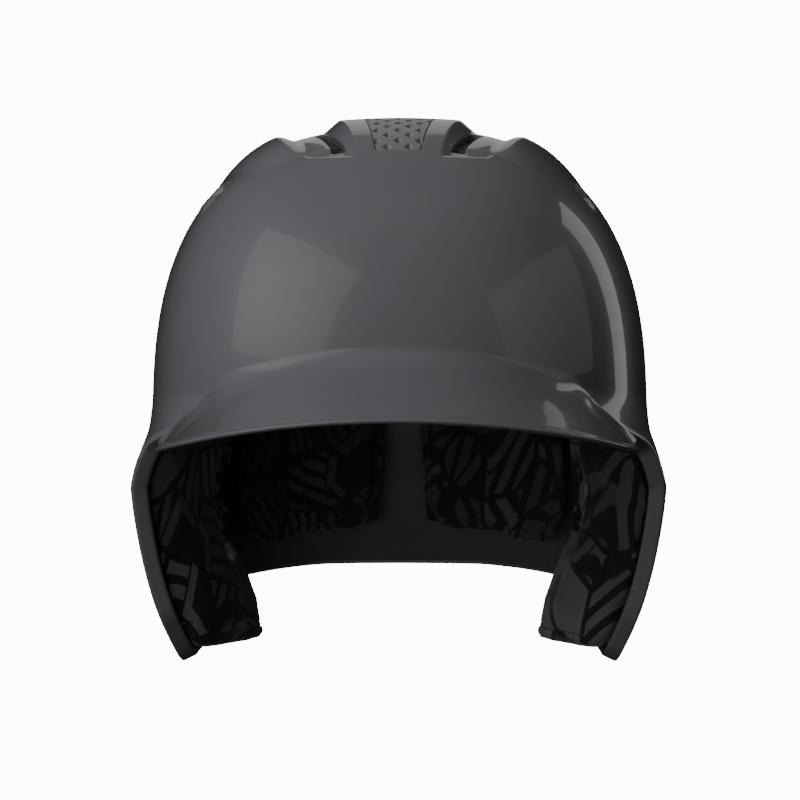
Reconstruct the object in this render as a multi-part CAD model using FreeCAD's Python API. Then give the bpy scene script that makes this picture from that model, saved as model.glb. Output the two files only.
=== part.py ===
"""Double ear flap batting helmet, in millimetres.

Frame: +X is the wearer's left, -Y is the front, where the bill points, and +Z is up. The origin is
under the centre of the bounding box, level with the lower edges of the ear flaps.

Every shell, liner and pad follows one egg-shaped form, dome_point, at its own depth below the
outer surface, so the layers nest: shell, impact liner, comfort pad.
"""

import FreeCAD, Part
import math
import os

V = FreeCAD.Vector

# Driving dimensions
LENGTH = 287.0  # bill tip to the back of the shell
DOME_FRONT = 119.0  # dome centre to the forehead
DOME_BACK = 122.0  # dome centre to the back
DOME_HALF_WIDTH = 104.5
DOME_CENTRE_Y = LENGTH / 2 - DOME_BACK
WIDEST_Z = 95.0  # where the dome starts to close in
DOME_RISE = 125.0  # from there to the crown
SHELL_WALL = 3.0
LAYER_GAP = 0.3
BODY_FLOOR_Z = -16.0  # the form runs on below the rim, where the outlines trim it
FLAP_LOW_Z = -3.0  # lower edge of the ear flaps
STAND = -FLAP_LOW_Z  # lifts the finished pieces onto the table

# The form below WIDEST_Z: (height, half width), (height, front length), (height, back length)
HALF_WIDTHS = [(-24, 78.0), (0, 90.5), (24, 100.5), (45, 106.0), (65, 109.5), (70, 110.0),
               (75, 109.2), (84, 107.0), (95, 104.5)]
BACK_LENGTHS = [(-24, 94.0), (0, 101.0), (28, 111.0), (60, 118.5), (95, 122.0)]
# Exponents of the plan section: round over the dome, squarer at the front of the flaps
ROUND_FRONT = 2.2
SQUARE_FRONT = 3.4
ROUND_BACK = 2.3
SQUARE_Z = 78.0
ROUND_Z = 108.0
# Exponents of the dome's vertical sections
WIDTH_POWER = 2.65
FRONT_POWER = 2.1
BACK_POWER = 2.25

# Bill
BILL_CENTRE_Y = DOME_CENTRE_Y - 74.0
BILL_HALF_WIDTH = 96.5
BILL_REACH = LENGTH / 2 + BILL_CENTRE_Y
BILL_ROUND = 2.1
BILL_TIP_Z = 98.0
BILL_CORNER_Z = 85.5
BILL_THICKNESS = 3.6
BILL_RISE = 17.3  # from the edge up to the crease, where the bill overhangs a lot
BILL_CORNER_RISE = 4.0
BILL_FULL = 22.0  # overhang that has the full rise
BILL_BLEND = 11.0  # how far above the crease the blend into the forehead starts

# Ear flap and rim outline, seen from the side: y from the dome centre, and z
BROW = [(-150, 113), (-119, 110.0), (-104, 105.5), (-88, 96.0), (-77, 90.0)]
FLAP_FRONT = [(-70, 86.5), (-64, 70.0), (-50, 16.0)]
FLAP_BOTTOM = [(-38, FLAP_LOW_Z), (16, FLAP_LOW_Z)]
NAPE = [(30, 4.5), (44, 15.0), (60, 21.0), (86, 24.0), (106, 27.2), (150, 28.0)]
LIP_WIDTH = 5.0
LIP_OUT = 1.0
LIP_IN = 1.6

# Ear hole, seen from the side
EAR_Y = DOME_CENTRE_Y + 6.0
EAR_Z = 60.0
EAR_HALF_Y = 17.0
EAR_HALF_Z = 21.0

# Crown spine: distance behind the dome centre, half width on top, height over the dome
SPINE = [(-63, 17.0, 0.3), (-54, 18.2, 1.5), (-40, 20.6, 3.3), (-22, 24.0, 4.5), (0, 26.4, 4.9),
         (25, 26.6, 5.0), (48, 23.5, 4.2), (68, 18.5, 2.6), (86, 12.5, 0.2)]
SPINE_LEAN = 1.15  # how far each side wall leans out, per height
SPINE_ROOT = 2.6  # how far the spine reaches into the shell wall
# Shoulder ridges: distance behind the dome centre, crest's x, outer foot's x, height
RIDGES = [(-58, 42, 54, -2.0), (-47, 45, 60, 1.6), (-34, 48, 67, 3.2), (-15, 52, 75, 4.1),
          (8, 56, 82, 4.4), (35, 57, 81, 3.9), (62, 51, 72, 2.3), (88, 40, 56, -2.0)]
RIDGE_INNER = 8.0  # width of each ridge's inner slope
VALLEY_DEPTH = 1.3  # the floor between the ridges, below the forehead's surface
VALLEY = [(-20, -61.5, 6), (20, -61.5, 6), (35, -57, 8), (44, -44, 12), (50, 0, 20), (48, 50, 20),
          (26, 88, 12), (-26, 88, 12), (-48, 50, 20), (-50, 0, 20), (-44, -44, 12), (-35, -57, 8)]
INSERT_HALF = [(-60, 8.8), (-5, 17.0), (30, 17.0), (72, 8.8)]
INSERT_THICKNESS = 2.4
DIMPLE_ACROSS = 8.8
DIMPLE_ALONG = 4.7
DIMPLE_SIDE = 2.5
DIMPLE_START = 2.4  # first row, behind the insert's front edge
DIMPLE_DEPTH = 1.3

# Slots beside the spine: front y and back y from the dome's centre, and the inner edge's x at each
SPINE_VENTS = [(-55, -24, 21.0, 30.0), (36, 64, 29.5, 24.5)]
VENT_WIDTH = 5.5
VENT_ROUND = 1.7
SIDE_VENT = [(-6, 187.5, 2), (26, 182, 2), (26, 188.5, 2), (-6, 194.5, 2)]

# Depths of the layers below the outer surface
LINER_OUT = SHELL_WALL + LAYER_GAP
LINER_IN = 13.0
PAD_OUT = LINER_IN + LAYER_GAP
PAD_IN = 22.0
COVER = 1.0  # fabric and its backing
JAW_LINER_IN = 9.0
HOOK_OUT = JAW_LINER_IN + 0.05
HOOK_IN = JAW_LINER_IN + 1.2
BOARD_OUT = HOOK_IN + LAYER_GAP
BOARD_IN = BOARD_OUT + 1.2
JAW_PAD_OUT = BOARD_IN + 0.05
JAW_PAD_IN = 31.6
JAW_ROLL_OUT = 5.2  # the roll at the pad's front and bottom, which hides the liner

# Pad outlines with corner radii: from the front or back (x, z), from above (x, y) or from the
# side (y, z), where y starts at the dome centre
FOREHEAD_PAD = [(-64, 121, 14), (64, 121, 14), (54, 160, 16), (-54, 160, 16)]
CROWN_PAD = [(-32, -40, 14), (32, -40, 14), (34, 36, 16), (-34, 36, 16)]
TEMPLE_PAD = [(-50, 112, 10), (30, 106, 12), (34, 150, 16), (-38, 150, 16)]
REAR_PAD = [(7.5, 48, 6), (14, 45, 6), (68, 37, 9), (76, 60, 9), (70, 116, 16), (5.5, 116, 8)]
JAW_PAD = [(-70, 87, 5), (-66, 70, 8), (-52, 13, 8), (-37, 1.5, 8), (14, 2.5, 12),
           (29, 15, 10), (31, 60, 14), (27, 93, 8), (-40, 93, 10)]
BOARD = [(-42, 84, 8), (-28, 22, 10), (10, 20, 10), (22, 26, 10), (24, 60, 12), (21, 87, 8),
         (-38, 87, 10)]
PAD_EDGE_SHARE = 1.5  # how much further a foam core stays inside its outline than under its face

# Liner outlines, given like the pads
FRONT_LINER = [(-66, 126, 16), (66, 126, 16), (58, 188, 20), (-58, 188, 20)]
CROWN_LINER = [(-40, -50, 14), (40, -50, 14), (44, 44, 16), (-44, 44, 16)]
SIDE_LINER = [(-62, 118, 10), (-30, 104, 10), (36, 100, 12), (44, 120, 14), (36, 176, 18),
              (-40, 176, 18)]
REAR_LINER = [(11, 54, 6), (18, 51, 6), (63, 44, 9), (70, 62, 9), (68, 132, 16), (9, 132, 8)]

# Hook discs on the jaw liner, from the side
HOOK_PLACES = [(-30, 74), (-20, 29), (12, 30)]
HOOK_RADIUS = 6.0

AROUND = 48  # control points around the form
FAR = 600.0


def smooth_curve(x, table):
    """Value at x of a curve through the table's points that never overshoots between them."""
    if x <= table[0][0]:
        return table[0][1]
    if x >= table[-1][0]:
        return table[-1][1]
    slopes = [(b[1] - a[1]) / (b[0] - a[0]) for a, b in zip(table, table[1:])]
    tangents = [slopes[0]]
    for a, b in zip(slopes, slopes[1:]):
        tangents.append(2 * a * b / (a + b) if a * b > 0 else 0.0)
    tangents.append(0.0)
    i = max(k for k in range(len(slopes)) if table[k][0] <= x)
    span = table[i + 1][0] - table[i][0]
    t = (x - table[i][0]) / span
    rise = 3 * t * t - 2 * t ** 3
    start, end = table[i][1], table[i + 1][1]
    return (start + (end - start) * rise + span * (t - 2 * t * t + t ** 3) * tangents[i]
            + span * (t ** 3 - t * t) * tangents[i + 1])


def ease(x, low, high):
    """0 at low, 1 at high, smooth between."""
    t = min(1.0, max(0.0, (x - low) / (high - low)))
    return t * t * (3 - 2 * t)


def closing(z, power):
    """Share of a half axis that is left at height z of the dome."""
    s = min(1.0, max(0.0, (z - WIDEST_Z) / DOME_RISE))
    return max(0.0, 1 - s ** power) ** (1 / power)


def form_height(v):
    """Height at v, which is 0 where the dome is widest and 1 at the crown."""
    if v < 0:
        return WIDEST_Z + DOME_RISE * math.pi / 2 * v
    return WIDEST_Z + DOME_RISE * math.sin(v * math.pi / 2)


def form_v(z):
    """The inverse of form_height."""
    if z < WIDEST_Z:
        return (z - WIDEST_Z) / (DOME_RISE * math.pi / 2)
    return math.asin(min(1.0, (z - WIDEST_Z) / DOME_RISE)) * 2 / math.pi


def form_point(theta, v):
    """Point of the outer surface. theta is 0 at the wearer's left and -90 degrees at the front."""
    z = form_height(v)
    if z < WIDEST_Z:
        half, front, back = smooth_curve(z, HALF_WIDTHS), DOME_FRONT, smooth_curve(z, BACK_LENGTHS)
    else:
        half = DOME_HALF_WIDTH * closing(z, WIDTH_POWER)
        front = DOME_FRONT * closing(z, FRONT_POWER)
        back = DOME_BACK * closing(z, BACK_POWER)
    c, s = math.cos(theta), math.sin(theta)
    if s < 0:
        power = SQUARE_FRONT + (ROUND_FRONT - SQUARE_FRONT) * ease(z, SQUARE_Z, ROUND_Z)
        along = front
    else:
        power, along = ROUND_BACK, back
    r = (abs(c / half) ** power + abs(s / along) ** power) ** (-1 / power)
    return V(r * c, DOME_CENTRE_Y + r * s, z)


def dome_point(theta, v, depth):
    """Point at a depth below the outer surface, along its normal."""
    step = 1e-3
    p = form_point(theta, v)
    if depth == 0:
        return p
    along = form_point(theta + step, v) - form_point(theta - step, v)
    up = form_point(theta, min(v + step, 0.999)) - form_point(theta, v - step)
    normal = along.cross(up)
    normal.normalize()
    return p - normal * depth


def sharpened(poles):
    """Poles moved off the form so that the cubic surface through them lies on it."""
    count, rows = len(poles), len(poles[0])

    def bend(before, here, after):
        return (before - here * 2 + after) / 6

    moved = []
    for i in range(count):
        column = []
        for j in range(rows):
            p = poles[i][j] - bend(poles[i - 1][j], poles[i][j], poles[(i + 1) % count][j])
            if 1 < j < rows - 2:
                p = p - bend(poles[i][j - 1], poles[i][j], poles[i][j + 1])
            column.append(p)
        moved.append(column)
    return moved


def dome_body(depth):
    """Closed solid of everything inside the surface at this depth, with flat ends."""
    floor_z = BODY_FLOOR_Z - depth / 10
    lows = [floor_z, -8, 4, 16, 28, 40, 52, 64, 74, 84, 92]
    rows = [form_v(z) for z in lows] + [0.06 + 0.08 * k for k in range(11)] + [0.915, 0.95]
    poles = []
    for k in range(AROUND):
        theta = 2 * math.pi * (k + 0.5) / AROUND + math.pi / 2
        poles.append([dome_point(theta, v, depth) for v in rows])
    poles = sharpened(poles)
    for column in poles:
        column[0].z = floor_z
        column[-1].z = WIDEST_Z + DOME_RISE - depth
        column[-2].z = column[-1].z - 0.35
    spans = len(rows) - 3
    surface = Part.BSplineSurface()
    surface.buildFromPolesMultsKnots(
        poles, [1] * (AROUND + 1), [4] + [1] * (spans - 1) + [4],
        list(range(AROUND + 1)), list(range(spans + 1)), True, False, 3, 3)
    skin = surface.toShape()
    caps = []
    for edge in skin.Edges:
        box = edge.BoundBox
        if box.ZLength < 0.01:
            caps.append(Part.Face(Part.Wire([edge])))
    body = Part.Solid(Part.Shell([skin] + caps))
    body.fix(1e-4, 1e-4, 1e-3)
    if body.Volume < 0:
        body.reverse()
    return body


BODIES = {}


def body(depth):
    if depth not in BODIES:
        BODIES[depth] = dome_body(depth)
    return BODIES[depth]


def layer(outer, inner):
    """The wall between two depths."""
    return body(outer).cut(body(inner))


def outline_wire(points, plane):
    """Closed wire through points in a plane, each point (u, w) or (u, w, corner radius)."""
    place = {"yz": lambda p: V(-FAR / 2, p[0], p[1]), "xz": lambda p: V(p[0], -FAR / 2, p[1]),
             "xy": lambda p: V(p[0], p[1], -FAR / 2)}[plane]
    edges, ends = [], []
    count = len(points)
    for k in range(count):
        before, here, after = place(points[k - 1]), place(points[k]), place(points[(k + 1) % count])
        radius = points[k][2] if len(points[k]) > 2 else 0
        if not radius:
            ends.append((here, here))
            continue
        back, on = before - here, after - here
        half = back.getAngle(on) / 2
        reach = min(radius / math.tan(half), 0.49 * back.Length, 0.49 * on.Length)
        radius = reach * math.tan(half)
        back.normalize()
        on.normalize()
        middle = back + on
        middle.normalize()
        centre = here + middle * (radius / math.sin(half))
        start, end = here + back * reach, here + on * reach
        edges.append(Part.Arc(start, centre - middle * radius, end).toShape())
        ends.append((start, end))
    for k in range(count):
        start, end = ends[k - 1][1], ends[k][0]
        if (end - start).Length > 1e-6:
            edges.append(Part.LineSegment(start, end).toShape())
    return Part.Wire(Part.__sortEdges__(edges))


def prism(points, plane, low=-FAR / 2, high=FAR / 2):
    """Solid of an outline drawn out along the axis that its plane leaves out, from low to high."""
    axis = {"yz": V(1, 0, 0), "xz": V(0, 1, 0), "xy": V(0, 0, 1)}[plane]
    shape = Part.Face(outline_wire(points, plane)).extrude(axis * (high - low))
    shape.translate(axis * (low + FAR / 2))
    return shape


def from_centre(points):
    """Outline given with y from the dome's centre, moved into the part's frame."""
    return [(p[0] + DOME_CENTRE_Y,) + tuple(p[1:]) for p in points]


def plan_from_centre(points):
    """Outline seen from above, (x, y, corner radius), with y from the dome's centre."""
    return [(x, y + DOME_CENTRE_Y, radius) for x, y, radius in points]


def mirrored(shape):
    return shape.mirror(V(0, 0, 0), V(1, 0, 0))


def one_solid(shape):
    """The largest solid of a boolean's result."""
    return max(shape.Solids, key=lambda s: s.Volume)


def rim_outline(inset=0.0):
    """Side view of all that the rim leaves of the shell, set back from the flap's edges."""
    brow = [(y, z + inset) for y, z in BROW]
    front = [(y + inset, z, 6.0) for y, z in FLAP_FRONT]
    (start_y, start_z), (end_y, end_z) = FLAP_BOTTOM
    bottom = [(start_y + 0.6 * inset, start_z + inset, 14.0), (end_y - 0.4 * inset, end_z + inset, 20.0)]
    nape = [(y, z + inset, 12.0) for y, z in NAPE]
    return from_centre([(-150, 260)] + brow + front + bottom + nape + [(150, 260)])


def dome_z(y, depth=0.0):
    """Height of the surface at x = 0 and this y, from the dome's centre."""
    side = -math.pi / 2 if y < 0 else math.pi / 2
    low, high = 0.0, 0.995
    for _ in range(40):
        mid = (low + high) / 2
        reach = abs(dome_point(side, mid, depth).y - DOME_CENTRE_Y)
        low, high = (mid, high) if reach > abs(y) else (low, mid)
    return dome_point(side, low, depth).z


def dome_height(x, y):
    """Height of the outer surface over a point of the plan, with y from the dome's centre."""
    low, high = 0.0, 1.0
    for _ in range(30):
        mid = (low + high) / 2
        edge = form_point(math.atan2(y, x), mid)
        reach = math.hypot(edge.x, edge.y - DOME_CENTRE_Y)
        low, high = (mid, high) if reach > math.hypot(x, y) else (low, mid)
    return form_height(low)


def ridge():
    """Shoulder ridge on the wearer's left, from behind the forehead to the back of the crown."""
    sections = []
    for y, crest, foot, height in RIDGES:
        points = []
        for k in range(10):
            s = k / 9
            x = crest + (foot - crest) * s
            slope = dome_height(x, y) - dome_height(x + 1, y)
            rise = height * (1 - s * s) * math.sqrt(1 + slope * slope)
            points.append(V(x, y + DOME_CENTRE_Y, dome_height(x, y) + rise - 0.9 * s ** 4))
        inner = V(crest - RIDGE_INNER, y + DOME_CENTRE_Y, dome_height(crest - RIDGE_INNER, y) - 1.8)
        skin = Part.BSplineCurve()
        skin.interpolate([inner] + points)
        below = V(crest - RIDGE_INNER, y + DOME_CENTRE_Y, points[-1].z - 4)
        sections.append(Part.Wire([
            skin.toShape(), Part.LineSegment(points[-1], below).toShape(),
            Part.LineSegment(below, inner).toShape()]))
    return Part.makeLoft(sections, True, False)


def bill_edge(t):
    """Bill's edge at t degrees round from the wearer's left corner."""
    c, s = math.cos(math.radians(t)), math.sin(math.radians(t))
    x = math.copysign(BILL_HALF_WIDTH * abs(c) ** (2 / BILL_ROUND), c)
    y = BILL_CENTRE_Y - BILL_REACH * s ** (2 / BILL_ROUND)
    z = BILL_TIP_Z - (BILL_TIP_Z - BILL_CORNER_Z) * (x / BILL_HALF_WIDTH) ** 2
    return V(x, y, z)


def bill_section(t):
    """Closed section of the bill on the ray from the dome's axis to the edge at t."""
    tip = bill_edge(t)
    theta = math.atan2(tip.y - DOME_CENTRE_Y, tip.x)
    out = V(math.cos(theta), math.sin(theta), 0)

    def root(z, depth):
        p = dome_point(theta, form_v(z), depth)
        return math.hypot(p.x, p.y - DOME_CENTRE_Y)

    def at(radius, z):
        return V(0, DOME_CENTRE_Y, z) + out * radius

    lip = BILL_THICKNESS
    wall = root(tip.z + 6, 0)
    overhang = max(1.2, math.hypot(tip.x, tip.y - DOME_CENTRE_Y) - wall)
    reach = wall + overhang
    share = min(1.0, overhang / BILL_FULL)
    bend_z = tip.z + BILL_CORNER_RISE + (BILL_RISE - BILL_CORNER_RISE) * share
    start_z = bend_z + 2.0 + (BILL_BLEND - 2.0) * share ** 2
    under_z = tip.z - 0.9 * lip
    under_bend_z = under_z + share * (bend_z - lip - under_z)
    back = min(0.5 * lip, 0.4 * overhang)
    top_end, under_end = at(reach - back, tip.z + 0.15 * lip), at(reach - back, under_z)
    under_bend = at(root(under_bend_z, 0), under_bend_z)
    inner = at(root(under_bend_z, SHELL_WALL - 0.4), under_bend_z)
    inner_top = at(root(start_z, SHELL_WALL - 0.4), start_z)
    start = at(root(start_z, 0.3), start_z)
    curve = Part.BezierCurve()
    lean = root(start_z + 0.5, 0) - root(start_z - 0.5, 0)
    curve.setPoles([start, at(root(start_z, 0) + lean * (bend_z - start_z), bend_z), top_end])
    nose = Part.Arc(top_end, at(reach, tip.z - 0.4 * lip), under_end)
    lines = [(under_end, under_bend), (under_bend, inner), (inner, inner_top), (inner_top, start)]
    return Part.Wire([curve.toShape(), nose.toShape()] + [Part.LineSegment(p, q).toShape() for p, q in lines])


def bill():
    stations = [7, 14, 24, 36, 52, 70, 90, 110, 128, 144, 156, 166, 173]
    return Part.makeLoft([bill_section(t) for t in stations], True, False)


def spine_body():
    """The raised spine over the crown, from inside the shell wall up."""
    sections = []
    for y, half, height in SPINE:
        base = dome_z(y)
        top = base + max(0.2, height)
        low = base - SPINE_ROOT
        wide = half + SPINE_LEAN * (height + SPINE_ROOT)
        yy = y + DOME_CENTRE_Y
        corners = [V(-wide, yy, low), V(-half, yy, top), V(half, yy, top), V(wide, yy, low)]
        sections.append(Part.makePolygon(corners + corners[:1]))
    return Part.makeLoft(sections, True, False)


def insert_outline(gap=0.0):
    left = [(smooth_curve(y, INSERT_HALF) + gap, y) for y, _ in INSERT_HALF]
    right = [(-x, y) for x, y in reversed(left)]
    grown = [(x, y - gap if y < 0 else y) for x, y in left + right]
    return [(x, y + DOME_CENTRE_Y, 1.5) for x, y in grown]


def spine_skin(low, high):
    """Slab that follows the spine's top, between two heights over it."""
    top, bottom = [], []
    for y, _, height in SPINE:
        z = dome_z(y) + height
        top.append(V(0, y + DOME_CENTRE_Y, z + high))
        bottom.append(V(0, y + DOME_CENTRE_Y, z + low))
    upper, lower = Part.BSplineCurve(), Part.BSplineCurve()
    upper.interpolate(top)
    lower.interpolate(bottom)
    wire = Part.Wire([
        upper.toShape(), Part.LineSegment(top[-1], bottom[-1]).toShape(), lower.toShape(),
        Part.LineSegment(bottom[0], top[0]).toShape()])
    slab = Part.Face(wire).extrude(V(80, 0, 0))
    slab.translate(V(-40, 0, 0))
    return slab


def dimples():
    """Square pockets, set corner to corner in a staggered grid over the insert."""
    pockets = []
    heights = [(p[0], p[2]) for p in SPINE]
    rows = int((INSERT_HALF[-1][0] - INSERT_HALF[0][0]) / DIMPLE_ALONG) - 1
    for row in range(rows):
        y = INSERT_HALF[0][0] + DIMPLE_START + row * DIMPLE_ALONG
        half = smooth_curve(y, INSERT_HALF) - 2.6
        shift = 0.5 * (1 - row % 2)
        z = dome_z(y) + smooth_curve(y, heights)
        for k in range(-3, 4):
            x = (k + shift) * DIMPLE_ACROSS
            if abs(x) > half:
                continue
            pocket = Part.makeBox(DIMPLE_SIDE, DIMPLE_SIDE, 8)
            pocket.translate(V(-DIMPLE_SIDE / 2, -DIMPLE_SIDE / 2, -DIMPLE_DEPTH))
            pocket.rotate(V(0, 0, 0), V(0, 0, 1), 45)
            pocket.translate(V(x, y + DOME_CENTRE_Y, z))
            pockets.append(pocket)
    return Part.makeCompound(pockets)


def ear_opening(grow=0.0, low=-FAR / 2, high=FAR / 2):
    """Rounded opening at the ear, drawn out across the helmet."""
    y, z = EAR_HALF_Y + grow, EAR_HALF_Z + grow
    corners = [(EAR_Y - y, EAR_Z - z, 14), (EAR_Y + y, EAR_Z - z, 14),
               (EAR_Y + y, EAR_Z + z, 16), (EAR_Y - y, EAR_Z + z, 12)]
    return prism(corners, "yz", low, high)


def crown_vents():
    """Slots beside the spine, and one low on each side of the dome."""
    slots = []
    for y_front, y_back, x_front, x_back in SPINE_VENTS:
        corners = [(x_front, y_front), (x_front + VENT_WIDTH, y_front), (x_back + VENT_WIDTH, y_back),
                   (x_back, y_back)]
        slots.append(prism([(x, y + DOME_CENTRE_Y, VENT_ROUND) for x, y in corners], "xy", 150, 240))
    slots.append(prism(from_centre(SIDE_VENT), "yz", 50, 120))
    return Part.makeCompound(slots + [mirrored(s) for s in slots])


def shell_lip():
    """Thicker edge along the front and bottom of each flap."""
    band = prism(rim_outline(), "yz").cut(prism(rim_outline(LIP_WIDTH), "yz"))
    region = prism(from_centre([(-72, -8), (34, -8), (20, 9), (-40, 60), (-62, 88), (-72, 88)]), "yz")
    return layer(-LIP_OUT, SHELL_WALL + LIP_IN).common(band).common(region)


def outer_shell():
    valley = prism(from_centre(VALLEY), "xy", 150, 240).cut(body(VALLEY_DEPTH))
    wall = body(0.0).cut(valley).cut(body(SHELL_WALL)).common(prism(rim_outline(), "yz"))
    left = ridge().cut(body(SHELL_WALL))
    raised = spine_body().cut(body(SHELL_WALL))
    shell = one_solid(wall).fuse(bill()).fuse(shell_lip())
    shell = shell.fuse([left, mirrored(left), raised])
    recess = spine_skin(-INSERT_THICKNESS - LAYER_GAP, 6).common(prism(insert_outline(LAYER_GAP), "xy"))
    shell = shell.cut(recess)
    shell = shell.cut(ear_opening(0, 60, 150)).cut(ear_opening(0, -150, -60))
    return one_solid(shell.cut(crown_vents()))


def crown_vent_insert():
    plate = spine_skin(-INSERT_THICKNESS, 0.0).common(prism(insert_outline(), "xy"))
    return one_solid(plate.cut(dimples()))


def pad_pair(name, blank):
    """A cover and the foam core inside it, from a function of depth range and edge inset."""
    cover_out, core = blank(0.0), blank(COVER)
    return {name + "_cover": cover_out.cut(core), name + "_foam": core}


def cushion(outer, inner, outline, plane, low, high):
    """Blank of a pad between two depths and inside an outline; inset shrinks it all round."""

    def blank(inset):
        mid_u = sum(p[0] for p in outline) / len(outline)
        mid_w = sum(p[1] for p in outline) / len(outline)
        shrunk = []
        for p in outline:
            du, dw = mid_u - p[0], mid_w - p[1]
            size = math.hypot(du, dw)
            step = PAD_EDGE_SHARE * inset / size
            shrunk.append((p[0] + du * step, p[1] + dw * step, p[2]))
        cutter = prism(shrunk, plane, low, high)
        return one_solid(layer(outer + inset, inner - inset).common(cutter))

    return blank


def liners():
    """Impact foam behind the pads, glued to the shell."""
    wall = layer(LINER_OUT, LINER_IN)
    c = DOME_CENTRE_Y
    jaw = layer(LINER_OUT, JAW_LINER_IN).common(prism(jaw_liner_outline(), "yz", 45, 150))
    right = {
        "side_liner": wall.common(prism(from_centre(SIDE_LINER), "yz", 45, 150)),
        "rear_liner": wall.common(prism(REAR_LINER, "xz", c + 40, c + 140)),
        "jaw_liner": jaw.cut(ear_opening(0.6, 45, 150)),
    }
    made = {
        "front_liner": wall.common(prism(FRONT_LINER, "xz", c - 140, c - 55)),
        "crown_liner": wall.common(prism(plan_from_centre(CROWN_LINER), "xy", 150, 240)),
    }
    for name, shape in right.items():
        made[name + "_left"] = shape
        made[name + "_right"] = mirrored(shape)
    return {name: one_solid(shape) for name, shape in made.items()}


def jaw_liner_outline(grow=0.0):
    """Jaw liner seen from the side, inside the pad's roll at the front and the bottom."""
    return from_centre([(-46 - grow, 89, 5), (-44 - grow, 70, 8), (-31 - grow, 20, 10),
                        (-24, 15 - grow, 10), (12, 15 - grow, 12), (24 + grow, 22, 10),
                        (26 + grow, 60, 14), (23 + grow, 91 + grow, 8), (-38, 91 + grow, 8)])


def jaw_front_bevel(inset=0.0):
    """Body in front of the jaw pad's rounded front face, which follows the flap's front edge."""
    sections = []
    for z in (-20, 10, 40, 70, 95, 112):
        lip_y = smooth_curve(z, [(-20, -42), (16, -50), (70, -64), (112, -74)]) + DOME_CENTRE_Y
        out = smooth_curve(z, HALF_WIDTHS)
        x, y = out - 10, lip_y + 3.6 + 1.4 * inset
        face = Part.BSplineCurve()
        face.interpolate([V(x + 12, y - 3, z), V(x, y + 1, z), V(x - 11, y + 13, z), V(x - 18, y + 27, z),
                          V(x - 26, y + 36, z), V(x - 50, y + 40, z)])
        corners = [V(x - 50, y + 40, z), V(x - 50, y - 20, z), V(x + 12, y - 20, z),
                   V(x + 12, y - 3, z)]
        sides = [Part.LineSegment(a, b).toShape() for a, b in zip(corners, corners[1:])]
        sections.append(Part.Wire([face.toShape()] + sides))
    return Part.makeLoft(sections, True, False)


def jaw_pads():
    """Removable pads: a backing board and a covered foam block, with the ear left open."""
    outline = from_centre(JAW_PAD)
    blank = cushion(JAW_PAD_OUT, JAW_PAD_IN, outline, "yz", 45, 150)
    roll = cushion(JAW_ROLL_OUT, JAW_PAD_OUT + 2, outline, "yz", 45, 150)

    def shaped(inset):
        edge = roll(inset).cut(prism(jaw_liner_outline(0.5 + inset), "yz", 45, 150))
        shape = blank(inset).fuse(edge).cut(jaw_front_bevel(inset))
        return one_solid(shape.cut(ear_opening(1.0 + inset, 40, 150)))

    pieces = pad_pair("jaw_pad", shaped)
    board = layer(BOARD_OUT, BOARD_IN).common(prism(from_centre(BOARD), "yz", 45, 150))
    board = board.cut(ear_opening(2.5, 45, 150))
    pieces["jaw_pad_board"] = one_solid(board)
    return pieces


def hook_discs():
    """Hook fastener discs on the jaw liner, which hold the board's back."""
    wall = layer(HOOK_OUT, HOOK_IN)
    discs = []
    for y, z in HOOK_PLACES:
        rod = Part.makeCylinder(HOOK_RADIUS, 100, V(45, y + DOME_CENTRE_Y, z), V(1, 0, 0))
        discs.append(one_solid(wall.common(rod)))
    return Part.makeCompound(discs)


def comfort_pads():
    """Fabric-covered pads inside the dome."""
    c = DOME_CENTRE_Y
    front = cushion(PAD_OUT, PAD_IN, FOREHEAD_PAD, "xz", c - 140, c - 50)
    crown = cushion(PAD_OUT, PAD_IN, plan_from_centre(CROWN_PAD), "xy", 150, 240)
    side = cushion(PAD_OUT, PAD_IN, from_centre(TEMPLE_PAD), "yz", 45, 150)
    rear = cushion(PAD_OUT, PAD_IN, REAR_PAD, "xz", c + 40, c + 140)
    made = {}
    for name, blank in (("forehead_pad", front), ("crown_pad", crown)):
        made.update(pad_pair(name, blank))
    for name, pieces in (("temple_pad", pad_pair("p", side)), ("rear_pad", pad_pair("p", rear)),
                         ("jaw_pad", jaw_pads())):
        for key, shape in pieces.items():
            kind = key.rsplit("_", 1)[1]
            made[f"{name}_{kind}_left"] = shape
            made[f"{name}_{kind}_right"] = mirrored(shape)
    return made


def main():
    os.makedirs("parts", exist_ok=True)
    nodes = {"outer_shell": outer_shell(), "crown_vent_insert": crown_vent_insert()}
    nodes.update(liners())
    nodes.update(comfort_pads())
    discs = hook_discs()
    nodes["hook_discs_left"] = discs
    nodes["hook_discs_right"] = mirrored(discs)
    for name, shape in nodes.items():
        shape.translate(V(0, 0, STAND))
        shape.exportStep(f"parts/{name}.step")
        state = "valid" if shape.isValid() else "INVALID"
        print(f"{name:24} {state}, {len(shape.Solids)} solids, {shape.Volume / 1000:.2f} cm3")


main()
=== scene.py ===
import math
from itertools import chain

import bmesh
import bpy
import numpy as np
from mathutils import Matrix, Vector
from mathutils.bvhtree import BVHTree

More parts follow.
